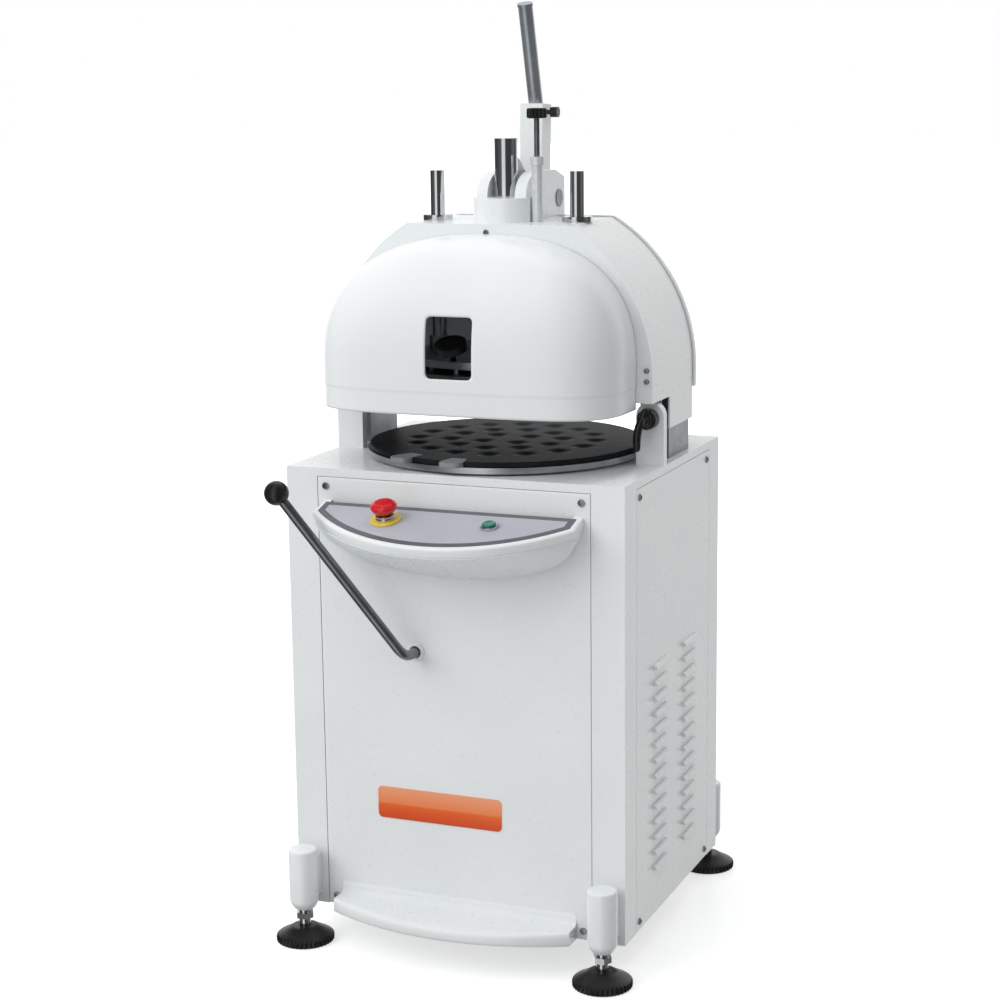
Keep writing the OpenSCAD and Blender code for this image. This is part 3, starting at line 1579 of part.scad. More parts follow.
// Copies at the middle of every pad.
module at_pads() {
    for (k = [0 : 2]) for (i = [0 : ring_counts[k] - 1])
        rotate([0, 0, (i + half_share) * 2 * half / ring_counts[k]])
            translate([rod_radii[k], 0, 0]) children();
}

// Straight knives of one ring, grown by e on each side.
module spokes(k, e, z0, z1) {
    r0 = k == 0 ? 0 : ring_r[k - 1];
    for (i = [0 : ring_counts[k] - 1]) rotate([0, 0, i * 2 * half / ring_counts[k]])
        box([r0, -blade_t / 2 - e, z0], [ring_r[k] + (k == 2 ? cut : 0), blade_t / 2 + e, z1]);
}

// A round knife wall at a radius, grown by e on each side.
module round_knife(r, e, z0, z1) {
    translate([0, 0, z0]) difference() {
        cylinder(r = r + blade_t / 2 + e, h = z1 - z0, $fn = 120);
        disc(-cut, r - blade_t / 2 - e, z1 - z0 + 2 * cut, $fn = 120);
    }
}

module press_pads() {
    color([0.75, 0.75, 0.74]) union() {
        difference() {
            disc(pad_z, inner_r - knife_gap, pad_t, $fn = 180);
            for (k = [0 : 2]) spokes(k, knife_gap, pad_z - cut, pad_top + cut);
            for (k = [0 : 1]) round_knife(ring_r[k], knife_gap, pad_z - cut, pad_top + cut);
        }
        at_pads() disc(pad_top - cut, rod_r, crown_z - pad_top + cut, $fn = 24);
    }
}

module knife_set() {
    color(steel) union() {
        difference() {
            disc(carrier_z, knife_r, carrier_t, $fn = 180);
            at_pads() disc(carrier_z - cut, rod_r + knife_gap, carrier_t + 2 * cut, $fn = 24);
        }
        translate([0, 0, knife_z]) difference() {
            cylinder(r = knife_r, h = carrier_z - knife_z + cut, $fn = 180);
            disc(-cut, inner_r, carrier_z - knife_z + 3 * cut, $fn = 180);
        }
        for (k = [0 : 2]) spokes(k, 0, knife_z, carrier_z + cut);
        for (k = [0 : 1]) round_knife(ring_r[k], 0, knife_z, carrier_z + cut);
    }
}

module stop_rod() {
    color(black) translate([stop_x, stop_y, 0])
        disc(crown_top, stop_rod_r, knob_z + knob_h - knob_gap - crown_top);
}

module stop_knob() {
    color(black) translate([stop_x, stop_y, knob_z]) difference() {
        cylinder(r = knob_r, h = knob_h);
        disc(-cut, stop_rod_r + run_fit, knob_h - knob_gap + run_fit + cut);
    }
}

module release_knob() {
    color(black) at_release() union() {
        disc(-release_in, rod_r, release_in + release_h + cut);
        disc(release_h, release_r, release_t);
    }
}

// Brings the middle of the outline over the origin.
module place() {
    translate([0, shift_y, 0]) children();
}

place() cabinet_frame();
place() top_plate();
place() front_panel();
place() console_shell();
place() console_border();
place() console_field();
place() side_panels();
place() back_panel();
place() panel_screws();
place() leg_sockets();
place() foot_spindles();
place() foot_pads();
place() nameplate();
place() lever_bush();
place() stop_collar();
place() start_bezel();
place() switch_boxes();
place() front_posts();
place() hinge_plates();
place() bed_plate();
place() bearing_housings();
place() motor();
place() motor_mount();
place() drive_belt();
place() limit_switch();
place() stop_button();
place() start_button();
place() rounding_lever();
place() lever_knob();
place() head_clamp();
place() eccentric_shaft();
place() driven_pulley();
place() table_disc();
place() moulding_plate();
place() motor_pulley();
place() idler_crank_left();
place() idler_crank_right();
place() head_frame();
place() head_shell();
place() head_band();
place() hood();
place() rear_cover();
place() lever_bracket();
place() guide_bushes();
place() stop_sleeve();
place() cover_screws();
place() return_springs();
place() lever_arm();
place() lever_sector();
place() pivot_shaft();
place() lever_tube();
place() socket_knob();
place() ram();
place() guide_columns();
place() press_crown();
place() press_pads();
place() stop_rod();
place() stop_knob();
place() knife_set();
place() release_knob();
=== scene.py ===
# %% [markdown]
# # Dressing a divider rounder
# A divider rounder presses a lump of dough, cuts it into equal pieces and rolls them round on an orbiting plate. The
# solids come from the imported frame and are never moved. This lesson gives them their finishes, replaces some of them
# by smoother surfaces, and sets up a pale studio. Lengths are in millimetres until a mesh is made, and places are
# counted from the middle of the cabinet.

# %% Load the frame
import json
import math
import bpy
import numpy as np
from mathutils import Matrix, Vector


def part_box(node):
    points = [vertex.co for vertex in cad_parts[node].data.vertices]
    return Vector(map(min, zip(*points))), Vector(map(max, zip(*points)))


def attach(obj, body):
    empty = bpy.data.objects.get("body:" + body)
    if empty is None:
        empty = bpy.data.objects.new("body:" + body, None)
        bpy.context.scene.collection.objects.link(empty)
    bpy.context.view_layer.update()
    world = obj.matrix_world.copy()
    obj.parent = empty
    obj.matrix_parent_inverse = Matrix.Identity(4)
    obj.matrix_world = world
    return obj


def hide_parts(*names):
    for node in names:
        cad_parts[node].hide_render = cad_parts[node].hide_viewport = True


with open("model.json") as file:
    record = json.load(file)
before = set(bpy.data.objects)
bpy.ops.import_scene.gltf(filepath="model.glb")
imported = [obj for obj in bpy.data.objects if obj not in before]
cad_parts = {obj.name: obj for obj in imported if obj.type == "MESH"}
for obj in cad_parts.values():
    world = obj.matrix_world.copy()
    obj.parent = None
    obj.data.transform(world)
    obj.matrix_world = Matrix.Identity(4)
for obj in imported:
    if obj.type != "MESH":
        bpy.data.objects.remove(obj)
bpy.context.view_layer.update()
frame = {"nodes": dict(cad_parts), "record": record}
nodes = frame["nodes"]
MM = 0.001            # one millimetre in metres
SHIFT = 27.0          # the cabinet's middle lies this far behind the origin
FRONT = -255.5        # the face of the front panel; the back panel lies as far behind

# %% [markdown]
# Colours are written as sRGB hex codes, as a paint chart gives them, and one function turns them into the linear
# values that shaders use. A second small function adds one shader node with its settings and links, so that every
# material below reads as a short list of what the light meets.


# %% Colour and node helpers
def linear(code):
    """Each channel c of the hex code becomes c / 12.92 when dark, else ((c + 0.055) / 1.055) to the power 2.4."""
    c = np.array([int(code[i:i + 2], 16) for i in (1, 3, 5)]) / 255
    return (*np.where(c <= 0.04045, c / 12.92, ((c + 0.055) / 1.055) ** 2.4), 1.0)


def add(tree, kind, sockets, **settings):
    """Adds one node: settings are its own options, sockets its inputs, each a value or another node's output."""
    made = tree.nodes.new(kind)
    for name, value in settings.items():
        setattr(made, name, value)
    for name, value in sockets.items():
        if isinstance(value, bpy.types.NodeSocket):
            tree.links.new(value, made.inputs[name])
        else:
            made.inputs[name].default_value = value
    return made


def finish(name, **sockets):
    """A new material with a Principled shader; returns the material, its node tree and the shader."""
    made = bpy.data.materials.new(name)
    made.use_nodes = True
    shader = made.node_tree.nodes["Principled BSDF"]
    for socket, value in sockets.items():
        shader.inputs[socket.replace("_", " ")].default_value = value
    return made, made.node_tree, shader


# %% [markdown]
# Most finishes share two patterns. Mottle lets the colour drift between two close values, in wide patches. Grain is
# finer: one noise both lifts the surface and changes its roughness, and stretching it along one axis gives the lines
# that brushing and grinding leave. Real grain is often finer than this, but would not show in the render, so it is
# drawn as coarse as it needs to be.

# %% Surface patterns
COLOUR_BAND = 0.3, 0.7      # the noise values where the colour is all dark and all light
ROUGH_BAND = 0.25, 0.75     # the noise values of the lowest and the highest roughness
BUMP = 0.25                 # how strongly the grain's height shows


def mottle(tree, shader, dark, light, size_mm):
    """Colour varies softly between two hex values, with patches of a given size."""
    place = add(tree, "ShaderNodeTexCoord", {})
    noise = add(tree, "ShaderNodeTexNoise",
                {"Vector": place.outputs["Object"], "Scale": 1 / (size_mm * MM), "Detail": 3.0})
    ramp = add(tree, "ShaderNodeValToRGB", {"Fac": noise.outputs["Fac"]})
    ends = ramp.color_ramp.elements
    ends[0].position, ends[1].position = COLOUR_BAND
    ends[0].color, ends[1].color = linear(dark), linear(light)
    tree.links.new(ramp.outputs["Color"], shader.inputs["Base Color"])
    return place


def grain(tree, shader, place, size_mm, height_mm, low, high, stretch=(1, 1, 1)):
    """A fine surface grain: noise of a given size lifts the surface and varies the roughness between two values."""
    turned = add(tree, "ShaderNodeMapping", {"Vector": place.outputs["Object"], "Scale": stretch})
    noise = add(tree, "ShaderNodeTexNoise",
                {"Vector": turned.outputs["Vector"], "Scale": 1 / (size_mm * MM), "Detail": 2.0})
    bump = add(tree, "ShaderNodeBump",
               {"Height": noise.outputs["Fac"], "Strength": BUMP, "Distance": height_mm * MM})
    rough = add(tree, "ShaderNodeMapRange",
                {"Value": noise.outputs["Fac"], "From Min": ROUGH_BAND[0], "From Max": ROUGH_BAND[1],
                 "To Min": low, "To Max": high})
    tree.links.new(bump.outputs["Normal"], shader.inputs["Normal"])
    tree.links.new(rough.outputs["Result"], shader.inputs["Roughness"])


def surface(name, colours, patch_mm, grain_mm, height_mm, roughness, stretch=(1, 1, 1), **sockets):
    """A finish with both patterns: two colours in patches, and grain with a height and two roughness values."""
    made, tree, shader = finish(name, **sockets)
    place = mottle(tree, shader, *colours, patch_mm)
    grain(tree, shader, place, grain_mm, height_mm, *roughness, stretch)
    return made


# %% [markdown]
# The cabinet and the head are sheet steel with baked white enamel: a smooth, slightly uneven gloss coat. The hood is
# moulded, with a softer gloss. A faint orange peel breaks up the reflections, as it does on sprayed paint.

# %% Enamel and moulded white
by_slot = {}
# sprayed and baked: an even white under a thin clear gloss
by_slot["paint_white"] = surface("baked white enamel", ("#E4E8E9", "#E9ECEC"), 180, 8.0, 0.004, (0.26, 0.34),
                                 IOR=1.5, Coat_Weight=0.25, Coat_Roughness=0.12)
# moulded in a polished tool: smooth, with long soft highlights
by_slot["plastic_white"] = surface("moulded white ABS", ("#E0E4E5", "#E4E7E8"), 220, 6.0, 0.02, (0.18, 0.24),
                                   IOR=1.53, Specular_IOR_Level=0.3)
print("white finishes:", *by_slot)

# %% [markdown]
# Turned and ground parts are bright steel: the ram and the columns are hard chrome, the lever's tube is satin, and
# the hinge plates and the rounding lever are darker. Brushing is noise that is stretched along the part.

# %% Metals
ALONG, BRUSHED, DRAWN = (1, 1, 0.1), (1, 1, 0.08), (1, 1, 0.15)     # a small scale in z draws the noise out upwards
# ground and plated: close to a mirror, with faint lines along the rod
by_slot["chrome"] = surface("hard chrome", ("#C9CCCF", "#D6D8DA"), 60, 1.2, 0.004, (0.05, 0.11), ALONG, Metallic=1.0)
# machined and left bare: duller, with fine lines
by_slot["steel"] = surface("machined steel", ("#8E9194", "#A3A6A9"), 25, 0.8, 0.01, (0.26, 0.38), BRUSHED,
                           Metallic=1.0)
# blackened: a dark sheen
by_slot["steel_dark"] = surface("darkened steel", ("#7A7C80", "#8E9094"), 30, 1.0, 0.01, (0.28, 0.38), DRAWN,
                                Metallic=0.9)
# drawn tube rubbed to a satin: broad, soft highlights
by_slot["tube_grey"] = surface("satin steel tube", ("#A3A9AF", "#B7BCC1"), 40, 1.2, 0.01, (0.3, 0.4), ALONG,
                               Metallic=0.75)
# electroplated: pale and hardly a mirror
zinc = surface("zinc-plated steel", ("#D4D8DB", "#E2E5E7"), 10, 0.8, 0.01, (0.35, 0.45), Metallic=0.3)
# machined and left bare: pale and soft
by_slot["aluminium"] = surface("machined aluminium", ("#B4B8BB", "#C6C9CB"), 30, 1.0, 0.01, (0.28, 0.4), Metallic=1.0)
# cast in sand: rough, matt and dark
by_slot["iron"] = surface("grey cast iron", ("#4A4D50", "#5C5F62"), 12, 1.5, 0.08, (0.5, 0.65), Metallic=0.7)
print("metals made, now", len(bpy.data.materials), "materials")

# %% [markdown]
# The knobs and the clamp are black moulded nylon, the feet are black rubber, and the moulding plate is a dark acetal
# dulled by flour, so that it is nearly black and shows little of the room. The buttons are dyed polycarbonate.

# %% Plastics and rubber
# moulded with a fine texture: black with a broad sheen
by_slot["plastic_black"] = surface("black nylon", ("#141416", "#1D1D20"), 15, 0.8, 0.01, (0.28, 0.4), IOR=1.53)
# pressed in a mould: black, a little uneven
by_slot["rubber_black"] = surface("black rubber", ("#101011", "#19191B"), 20, 1.0, 0.03, (0.3, 0.45), IOR=1.52)
# milled from sheet and dusted: dark and dull
by_slot["plastic_dark"] = surface("dark acetal", ("#1A1C1F", "#24272B"), 40, 3.0, 0.05, (0.36, 0.52),
                                  IOR=1.48, Specular_IOR_Level=0.04)
# moulded with a texture: matt grey
by_slot["plastic_grey"] = surface("grey polyamide", ("#74777B", "#83868A"), 20, 1.0, 0.02, (0.4, 0.55), IOR=1.53)
# moulded in a polished tool: bright colours with a clear shine
by_slot["plastic_red"] = surface("red polycarbonate", ("#C8101A", "#D6141E"), 20, 1.5, 0.01, (0.22, 0.3),
                                 IOR=1.58, Coat_Weight=0.3, Coat_Roughness=0.1)
by_slot["plastic_yellow"] = surface("yellow polycarbonate", ("#E0C23A", "#EAD055"), 20, 1.5, 0.01, (0.28, 0.36),
                                    IOR=1.58)
by_slot["plastic_green"] = surface("green polycarbonate", ("#17705E", "#208A74"), 12, 1.5, 0.01, (0.15, 0.25),
                                   IOR=1.58, Coat_Weight=0.4, Coat_Roughness=0.08)
print("plastics made, now", len(bpy.data.materials), "materials")

# %% [markdown]
# The console's face is a printed polyester film in two greys, with a fine matt grain. The nameplate is left blank: it
# is glazed orange, with a painted reflection of a window that lightens its upper half. The motor has machine paint.

# %% Films and coloured paints
# printed on the back of a textured film: flat colour, matt
by_slot["membrane_dark"] = surface("dark polyester film", ("#5B5D64", "#63656B"), 40, 0.9, 0.01, (0.4, 0.5), IOR=1.6)
by_slot["membrane_grey"] = surface("grey polyester film", ("#B0B2BC", "#B6B8C1"), 60, 0.9, 0.01, (0.4, 0.5), IOR=1.6)
# glazed orange with a painted reflection: the colour runs from deep to light up the plate, under a clear shine
by_slot["enamel_orange"], tree, shader = finish("orange glazed plate with painted reflection", IOR=1.5, Coat_Weight=0.6, Coat_Roughness=0.05)
place = add(tree, "ShaderNodeTexCoord", {})
height = add(tree, "ShaderNodeSeparateXYZ", {"Vector": place.outputs["Object"]})
plate_lo, plate_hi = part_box("nameplate")
share = add(tree, "ShaderNodeMapRange",
            {"Value": height.outputs["Z"], "From Min": plate_lo.z, "From Max": plate_hi.z})
ramp = add(tree, "ShaderNodeValToRGB", {"Fac": share.outputs["Result"]})
stops = ramp.color_ramp.elements
# painted reflection: these stops make the orange lighter towards the top of the plate
stops[0].color, stops[1].color = linear("#D24A1B"), linear("#EFA27A")
for at, code in ((0.3, "#E2581F"), (0.44, "#E8662A"), (0.5, "#EE8450")):
    stops.new(at).color = linear(code)
tree.links.new(ramp.outputs["Color"], shader.inputs["Base Color"])
grain(tree, shader, place, 5.0, 0.01, 0.16, 0.22)
# brushed or sprayed on a casting: slightly uneven
by_slot["paint_blue"] = surface("blue machine paint", ("#47525E", "#515D6A"), 40, 2.0, 0.03, (0.35, 0.5), IOR=1.5)
print("made", len(bpy.data.materials), "materials")

# %% [markdown]
# Each solid takes the finish of its slot in the record. The solids carry their own normals, so they are left as they
# are. The depth stop's sleeve is shown in pale zinc plate, as the photograph has it, and not in its slot's chrome.

# %% Assign the finishes
record = frame["record"]
slot_of = {row["node"]: row["material_slot"] for row in record["subparts"]}
body_of = {node: body for body, members in record["behaviour"]["bodies"].items() for node in members}
for node, slot in slot_of.items():
    if node in nodes:
        nodes[node].data.materials.clear()
        nodes[node].data.materials.append(by_slot[slot])
nodes["stop_sleeve"].data.materials[0] = zinc
print("finished", len(nodes), "solids")

# %% [markdown]
# New surfaces are grids of points: one function turns grids of positions into a mesh, joining the last column to the
# first where a shape closes on itself. Sharp edges stay crisp, and all others are shaded smooth. A piece that stands
# for a solid takes over the body, the slot and the finish that the record gives it.

# %% Grid meshes
CRISP = math.radians(40)    # edges sharper than this stay sharp
WELD = 0.01                 # points nearer than this become one


def grid_faces(rows, cols, closed):
    """Quads between neighbouring rows and columns of a grid of point numbers, row by row."""
    last = cols if closed else cols - 1
    r, c = np.meshgrid(np.arange(rows - 1), np.arange(last), indexing="ij")
    n = (c + 1) % cols
    return np.stack([r * cols + c, r * cols + n, (r + 1) * cols + n, (r + 1) * cols + c], -1).reshape(-1, 4)


def new_piece(name, points, faces, slot, body):
    """Puts points in millimetres from the cabinet's middle and quads into a mesh that rides on a body."""
    points = (np.asarray(points, float).reshape(-1, 3) + (0, SHIFT, 0)) * MM
    mesh = bpy.data.meshes.new(name)
    mesh.from_pydata(points.tolist(), [], np.asarray(faces).tolist())
    mesh.polygons.foreach_set("use_smooth", [True] * len(mesh.polygons))
    mesh.set_sharp_from_angle(angle=CRISP)
    mesh.materials.append(by_slot[slot])
    made = bpy.data.objects.new(name, mesh)
    bpy.context.scene.collection.objects.link(made)
    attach(made, body)
    weld = made.modifiers.new("weld", "WELD")
    weld.merge_threshold = WELD * MM
    print(name, len(mesh.polygons), "faces")
    return made


def from_grids(name, grids, slot, body, closed=True):
    """Several grids of points become one piece: each keeps its own quads, numbered after the points before it."""
    starts = np.cumsum([0] + [g.shape[0] * g.shape[1] for g in grids])
    faces = [grid_faces(g.shape[0], g.shape[1], closed) + n for g, n in zip(grids, starts)]
    return new_piece(name, np.concatenate([g.reshape(-1, 3) for g in grids]), np.concatenate(faces), slot, body)


def stand_in(name, node, grids, closed=True):
    """A piece made of grids that stands for one solid, on its body and in its slot."""
    made = from_grids(name, grids, slot_of[node], body_of[node], closed)
    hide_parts(node)
    return made


def thicken(made, wall_mm, even_wall=False):
    """A live Solidify gives an open surface its wall, inwards; an even wall keeps its width round sharp bends."""
    wall = made.modifiers.new("wall", "SOLIDIFY")
    wall.thickness, wall.offset, wall.use_even_offset = wall_mm * MM, -1.0, even_wall


# %% [markdown]
# Four small makers cover most of the detail. Corners of a drawn line are softened by a short curve, a profile is
# turned about an axis as on a lathe, a finished shape is stood up at its place, and a round rod follows a path.

# %% Makers
ASIDE = (0.94, 0.17, 0.31)  # no rod here runs this way, so the cross product with it never vanishes


def soften(line, reach, steps=6):
    """Each inner corner b becomes the curve (1-t)^2 p + 2t(1-t) b + t^2 q, from reach before it to reach after it."""
    line, t = np.asarray(line, float), np.linspace(0, 1, steps)[:, None]
    bends = [line[:1]]
    for a, b, c in zip(line[:-2], line[1:-1], line[2:]):
        p = b + (a - b) * min(0.5, reach / np.linalg.norm(a - b))
        q = b + (c - b) * min(0.5, reach / np.linalg.norm(c - b))
        bends.append((1 - t) ** 2 * p + 2 * t * (1 - t) * b + t ** 2 * q)
    return np.concatenate(bends + [line[-1:]])


def lathe(profile, turns=64, waves=0, dips=0.0):
    """Radius and height, from the bottom up, turned about z; a radius r becomes r - dip (1 - cos(waves a)) / 2."""
    profile = np.asarray(profile, float)
    a = np.linspace(0, 2 * np.pi, turns, endpoint=False)
    r = profile[:, :1] - np.asarray(dips, float).reshape(-1, 1) * (1 - np.cos(waves * a)) / 2
    return np.stack([r * np.cos(a), r * np.sin(a), np.repeat(profile[:, 1:2], turns, 1)], -1)


def stand(grid, place, axis=(0, 0, 1)):
    """Turns a grid so that its z axis points along axis, and moves its origin to a place."""
    ez = np.asarray(axis, float) / np.linalg.norm(axis)
    ex = np.cross((0, 1, 0) if abs(ez[1]) < 0.9 else (0, 0, 1), ez)
    ex = ex / np.linalg.norm(ex)
    return grid @ np.stack([ex, np.cross(ez, ex), ez]) + np.asarray(place, float)


def sweep(path, radii, turns=24):
    """A round rod along a path: at each point a circle of that radius, square to the path."""
    path = np.asarray(path, float)
    along = np.gradient(path, axis=0)
    along = along / np.linalg.norm(along, axis=1, keepdims=True)
    side = np.cross(along, ASIDE)
    side = side / np.linalg.norm(side, axis=1, keepdims=True)
    up = np.cross(along, side)
    a = np.linspace(0, 2 * np.pi, turns, endpoint=False)[None, :, None]
    return path[:, None] + np.reshape(radii, (-1, 1, 1)) * (np.cos(a) * side[:, None] + np.sin(a) * up[:, None])


# %% [markdown]
# The hood is a half dome with squared shoulders: its plan and its profile are both superellipses, the curve that a
# round-cornered box follows. A grid over plan and profile gives the shell. The lowest band steps in by about 1 mm,
# which leaves the crease that the moulding shows above its lower edge, so the rows lie closest there.

# %% Hood surface
HOOD = dict(back=-92.4, a=260.8, b=162.6, low=923.5, spring=993.0, rise=210.0, p=4.2, q=2.47, wall=3.0)
CREASE = dict(top=963.5, tall=4.5, step=0.004)
FINE, PLAN_POINTS, RISE_POINTS = 4001, 161, 61


def hood_depth(x, z):
    """How far the hood reaches at x and z: the plan superellipse, shrunk above the spring by the profile's."""
    t = np.clip((z - HOOD["spring"]) / HOOD["rise"], 0, 1)
    k = (1 - t ** HOOD["q"]) ** (1 / HOOD["q"])
    s = np.clip(np.abs(x) / (HOOD["a"] * np.maximum(k, 1e-9)), 0, 1)
    return HOOD["back"] - HOOD["b"] * k * (1 - s ** HOOD["p"]) ** (1 / HOOD["p"])


def even(curve, count):
    """A curve of many points resampled at equal steps along its length."""
    run = np.concatenate([[0], np.cumsum(np.linalg.norm(np.diff(curve, axis=0), axis=1))])
    at = np.linspace(0, run[-1], count)
    return np.stack([np.interp(at, run, curve[:, i]) for i in range(curve.shape[1])], -1)


angle = np.linspace(0, np.pi, FINE)
plan = np.stack([np.sign(np.cos(angle)) * np.abs(np.cos(angle)) ** (2 / HOOD["p"]),
                 np.sin(angle) ** (2 / HOOD["p"])], -1)
plan = even(plan * (HOOD["a"], HOOD["b"]), PLAN_POINTS) / (HOOD["a"], HOOD["b"])
angle = np.linspace(0, np.pi / 2, FINE)
rise = np.stack([np.cos(angle) ** (2 / HOOD["q"]), np.sin(angle) ** (2 / HOOD["q"])], -1)
rise = even(rise * (HOOD["b"], HOOD["rise"]), RISE_POINTS) / (HOOD["b"], HOOD["rise"])
upright = np.concatenate([np.linspace(HOOD["low"], 956, 10), np.linspace(958, 965, 8), np.linspace(968, 990, 8)])
inset = CREASE["step"] * np.clip((CREASE["top"] - upright) / CREASE["tall"], 0, 1)
levels = np.concatenate([np.stack([1 - inset, upright], -1),
                         np.stack([rise[:, 0], HOOD["spring"] + HOOD["rise"] * rise[:, 1]], -1)])
hood_x = HOOD["a"] * levels[:, :1] * plan[None, :, 0]
hood_y = HOOD["back"] - HOOD["b"] * levels[:, :1] * plan[None, :, 1]
hood_points = np.stack([hood_x, hood_y, np.repeat(levels[:, 1:], len(plan), 1)], -1)
print("hood grid", hood_points.shape[:2])

# %% [markdown]
# The hood has an open window with round corners. The quads around it are left out of the grid, and a patch of rings
# fills their place: the outermost ring is the grid's own edge, the innermost is the window's rim, and those between
# are blends of the two, laid on the hood's surface. Solidify then gives the wall, and the rim its thickness.

# %% Window patch
WINDOW = dict(x=41.0, z0=984.0, z1=1084.0, r=9.0)
BESIDE, UNDER, OVER = 66, 18, 22    # how far the patch reaches: from the middle sideways, and past the rim
RINGS = 7
mid = len(plan) // 2
# columns are counted on the row just above the spring
half_cols = int(np.sum((np.abs(hood_x[-(RISE_POINTS - 1)]) < BESIDE))) // 2
c0, c1 = mid - half_cols, mid + half_cols
r0 = int(np.searchsorted(levels[:, 1], WINDOW["z0"] - UNDER))
r1 = int(np.searchsorted(levels[:, 1], WINDOW["z1"] + OVER))
ids = np.arange(hood_points.shape[0] * hood_points.shape[1]).reshape(hood_points.shape[:2])
loop = np.concatenate([ids[r0, c0:c1], ids[r0:r1, c1], ids[r1, c1:c0:-1], ids[r1:r0:-1, c0]])
border = hood_points.reshape(-1, 3)[loop][:, [0, 2]]
core_x = WINDOW["x"] - WINDOW["r"]
core_z = ((WINDOW["z0"] + WINDOW["z1"]) / 2, (WINDOW["z1"] - WINDOW["z0"]) / 2 - WINDOW["r"])
core = np.stack([np.clip(border[:, 0], -core_x, core_x),
                 np.clip(border[:, 1], core_z[0] - core_z[1], core_z[0] + core_z[1])], -1)
rim = core + WINDOW["r"] * (border - core) / np.linalg.norm(border - core, axis=1, keepdims=True)
blend = np.linspace(0, 1, RINGS)[:, None, None]
patch = rim[None] * (1 - blend) + border[None] * blend
patch = np.stack([patch[..., 0], hood_depth(patch[..., 0], patch[..., 1]), patch[..., 1]], -1)
patch[-1] = hood_points.reshape(-1, 3)[loop]
faces = grid_faces(*hood_points.shape[:2], closed=False).reshape(hood_points.shape[0] - 1, -1, 4)
keep = np.ones(faces.shape[:2], bool)
keep[r0:r1, c0:c1] = False
rings = grid_faces(patch.shape[0], patch.shape[1], closed=True) + ids.size
hood = new_piece("hood_shell", np.concatenate([hood_points.reshape(-1, 3), patch.reshape(-1, 3)]),
                 np.concatenate([faces[keep], rings[:, ::-1]]), slot_of["hood"], "head")
thicken(hood, HOOD["wall"], even_wall=True)
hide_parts("hood")

# %% [markdown]
# The rear cover carries the head's arch round to the back: each section is the arch, drawn in a little more the
# further back it stands, so that the edge rounds over like a quarter circle. The last sections close the back.

# %% Rear cover
ARCH = dict(r=291.0, centre=970.0, top=1222.0, low=934.0, y0=125.4, depth=85.0, share=0.72, wall=3.0)
UP, ROUND, FLAT = 12, 60, 39    # points up the side, round the arch and over its flat top
EDGE, BACK = 25, 12             # sections over the rounded edge and across the back
bow = np.linspace(0, math.asin((ARCH["top"] - ARCH["centre"]) / ARCH["r"]), ROUND)
half_arch = np.concatenate([
    np.stack([np.full(UP, ARCH["r"]), np.linspace(ARCH["low"], ARCH["centre"], UP + 1)[:-1]], -1),
    np.stack([ARCH["r"] * np.cos(bow), ARCH["centre"] + ARCH["r"] * np.sin(bow)], -1)])
flat = np.stack([np.linspace(half_arch[-1, 0], -half_arch[-1, 0], FLAT + 2)[1:-1], np.full(FLAT, ARCH["top"])], -1)
section = np.concatenate([half_arch, flat, half_arch[::-1] * (-1, 1)])
quarter = np.linspace(0, np.pi / 2, EDGE)[:, None]
draw = 1 - (1 - ARCH["share"]) * (1 - np.cos(quarter))
shrink = np.concatenate([draw, draw[-1:] * np.linspace(1, 0, BACK + 1)[1:, None]])
depth = np.concatenate([ARCH["depth"] * np.sin(quarter), np.full((BACK, 1), ARCH["depth"])])
rear = np.stack([section[None, :, 0] * shrink, np.repeat(ARCH["y0"] + depth, len(section), 1),
                 ARCH["low"] + (section[None, :, 1] - ARCH["low"]) * shrink], -1)
thicken(stand_in("rear_cover_shell", "rear_cover", [rear], closed=False), ARCH["wall"])

# %% [markdown]
# The console is a half-moon tray on the front panel. Every section of it is the same half moon, drawn in or moved:
# first over the rounded lip, then down the bowl, which narrows to the panel along a quarter circle in width and a
# straight line in depth.

# %% Console
SLOPE = math.radians(15.6)
CONSOLE = dict(half=231.0, out=144.316, side=45.683, z=773.0, lip=17, face=16, under=3, bowl=100)


def half_moon(inset, count=121):
    """Points from the right end to the left: out along the end, over the arc through both ends, and back again."""
    sag = CONSOLE["out"] - CONSOLE["side"]
    radius = (CONSOLE["half"] ** 2 + sag ** 2) / (2 * sag)
    half, r = CONSOLE["half"] - inset, radius - inset
    a = np.linspace(math.acos(half / r), np.pi - math.acos(half / r), count)
    arc = np.stack([r * np.cos(a), CONSOLE["out"] - radius + r * np.sin(a)], -1)
    end = np.stack([np.full(8, half), np.linspace(0, arc[0, 1], 9)[:-1]], -1)
    return np.concatenate([end, arc, end[::-1] * (-1, 1)])


def on_console(x, out, up):
    """From the sloped face to the cabinet: out runs down the slope and up is square to it; the panel is the limit."""
    y = FRONT - out * math.cos(SLOPE) - up * math.sin(SLOPE)
    z = CONSOLE["z"] - out * math.sin(SLOPE) + up * math.cos(SLOPE)
    return np.stack(np.broadcast_arrays(x, np.minimum(y, FRONT), z), -1)


lip = [(CONSOLE["face"], 0), (0, 0), (0, -CONSOLE["lip"]), (CONSOLE["under"], -CONSOLE["lip"])]
rows = [on_console(*half_moon(inset).T, up) for inset, up in soften(lip, 5)]
under = half_moon(CONSOLE["under"])
for a in np.linspace(0, np.pi / 2, 40):
    out, drop = under[:, 1] * (1 - math.sin(a)), CONSOLE["bowl"] * math.sin(a)
    rows.append(np.stack([under[:, 0] * math.cos(a), FRONT - out * math.cos(SLOPE),
                          CONSOLE["z"] - CONSOLE["lip"] / math.cos(SLOPE) - out * math.sin(SLOPE) - drop], -1))
stand_in("console_tray", "console_shell", [np.array(rows)], closed=False)

# %% [markdown]
# The front panel's edges are folded back, and its foot sweeps out into an apron with a round nose. The sheet is a
# grid whose border rows bend back. The apron's section runs from a fillet on the panel over the nose and back under
# it, and its plan is an arc.

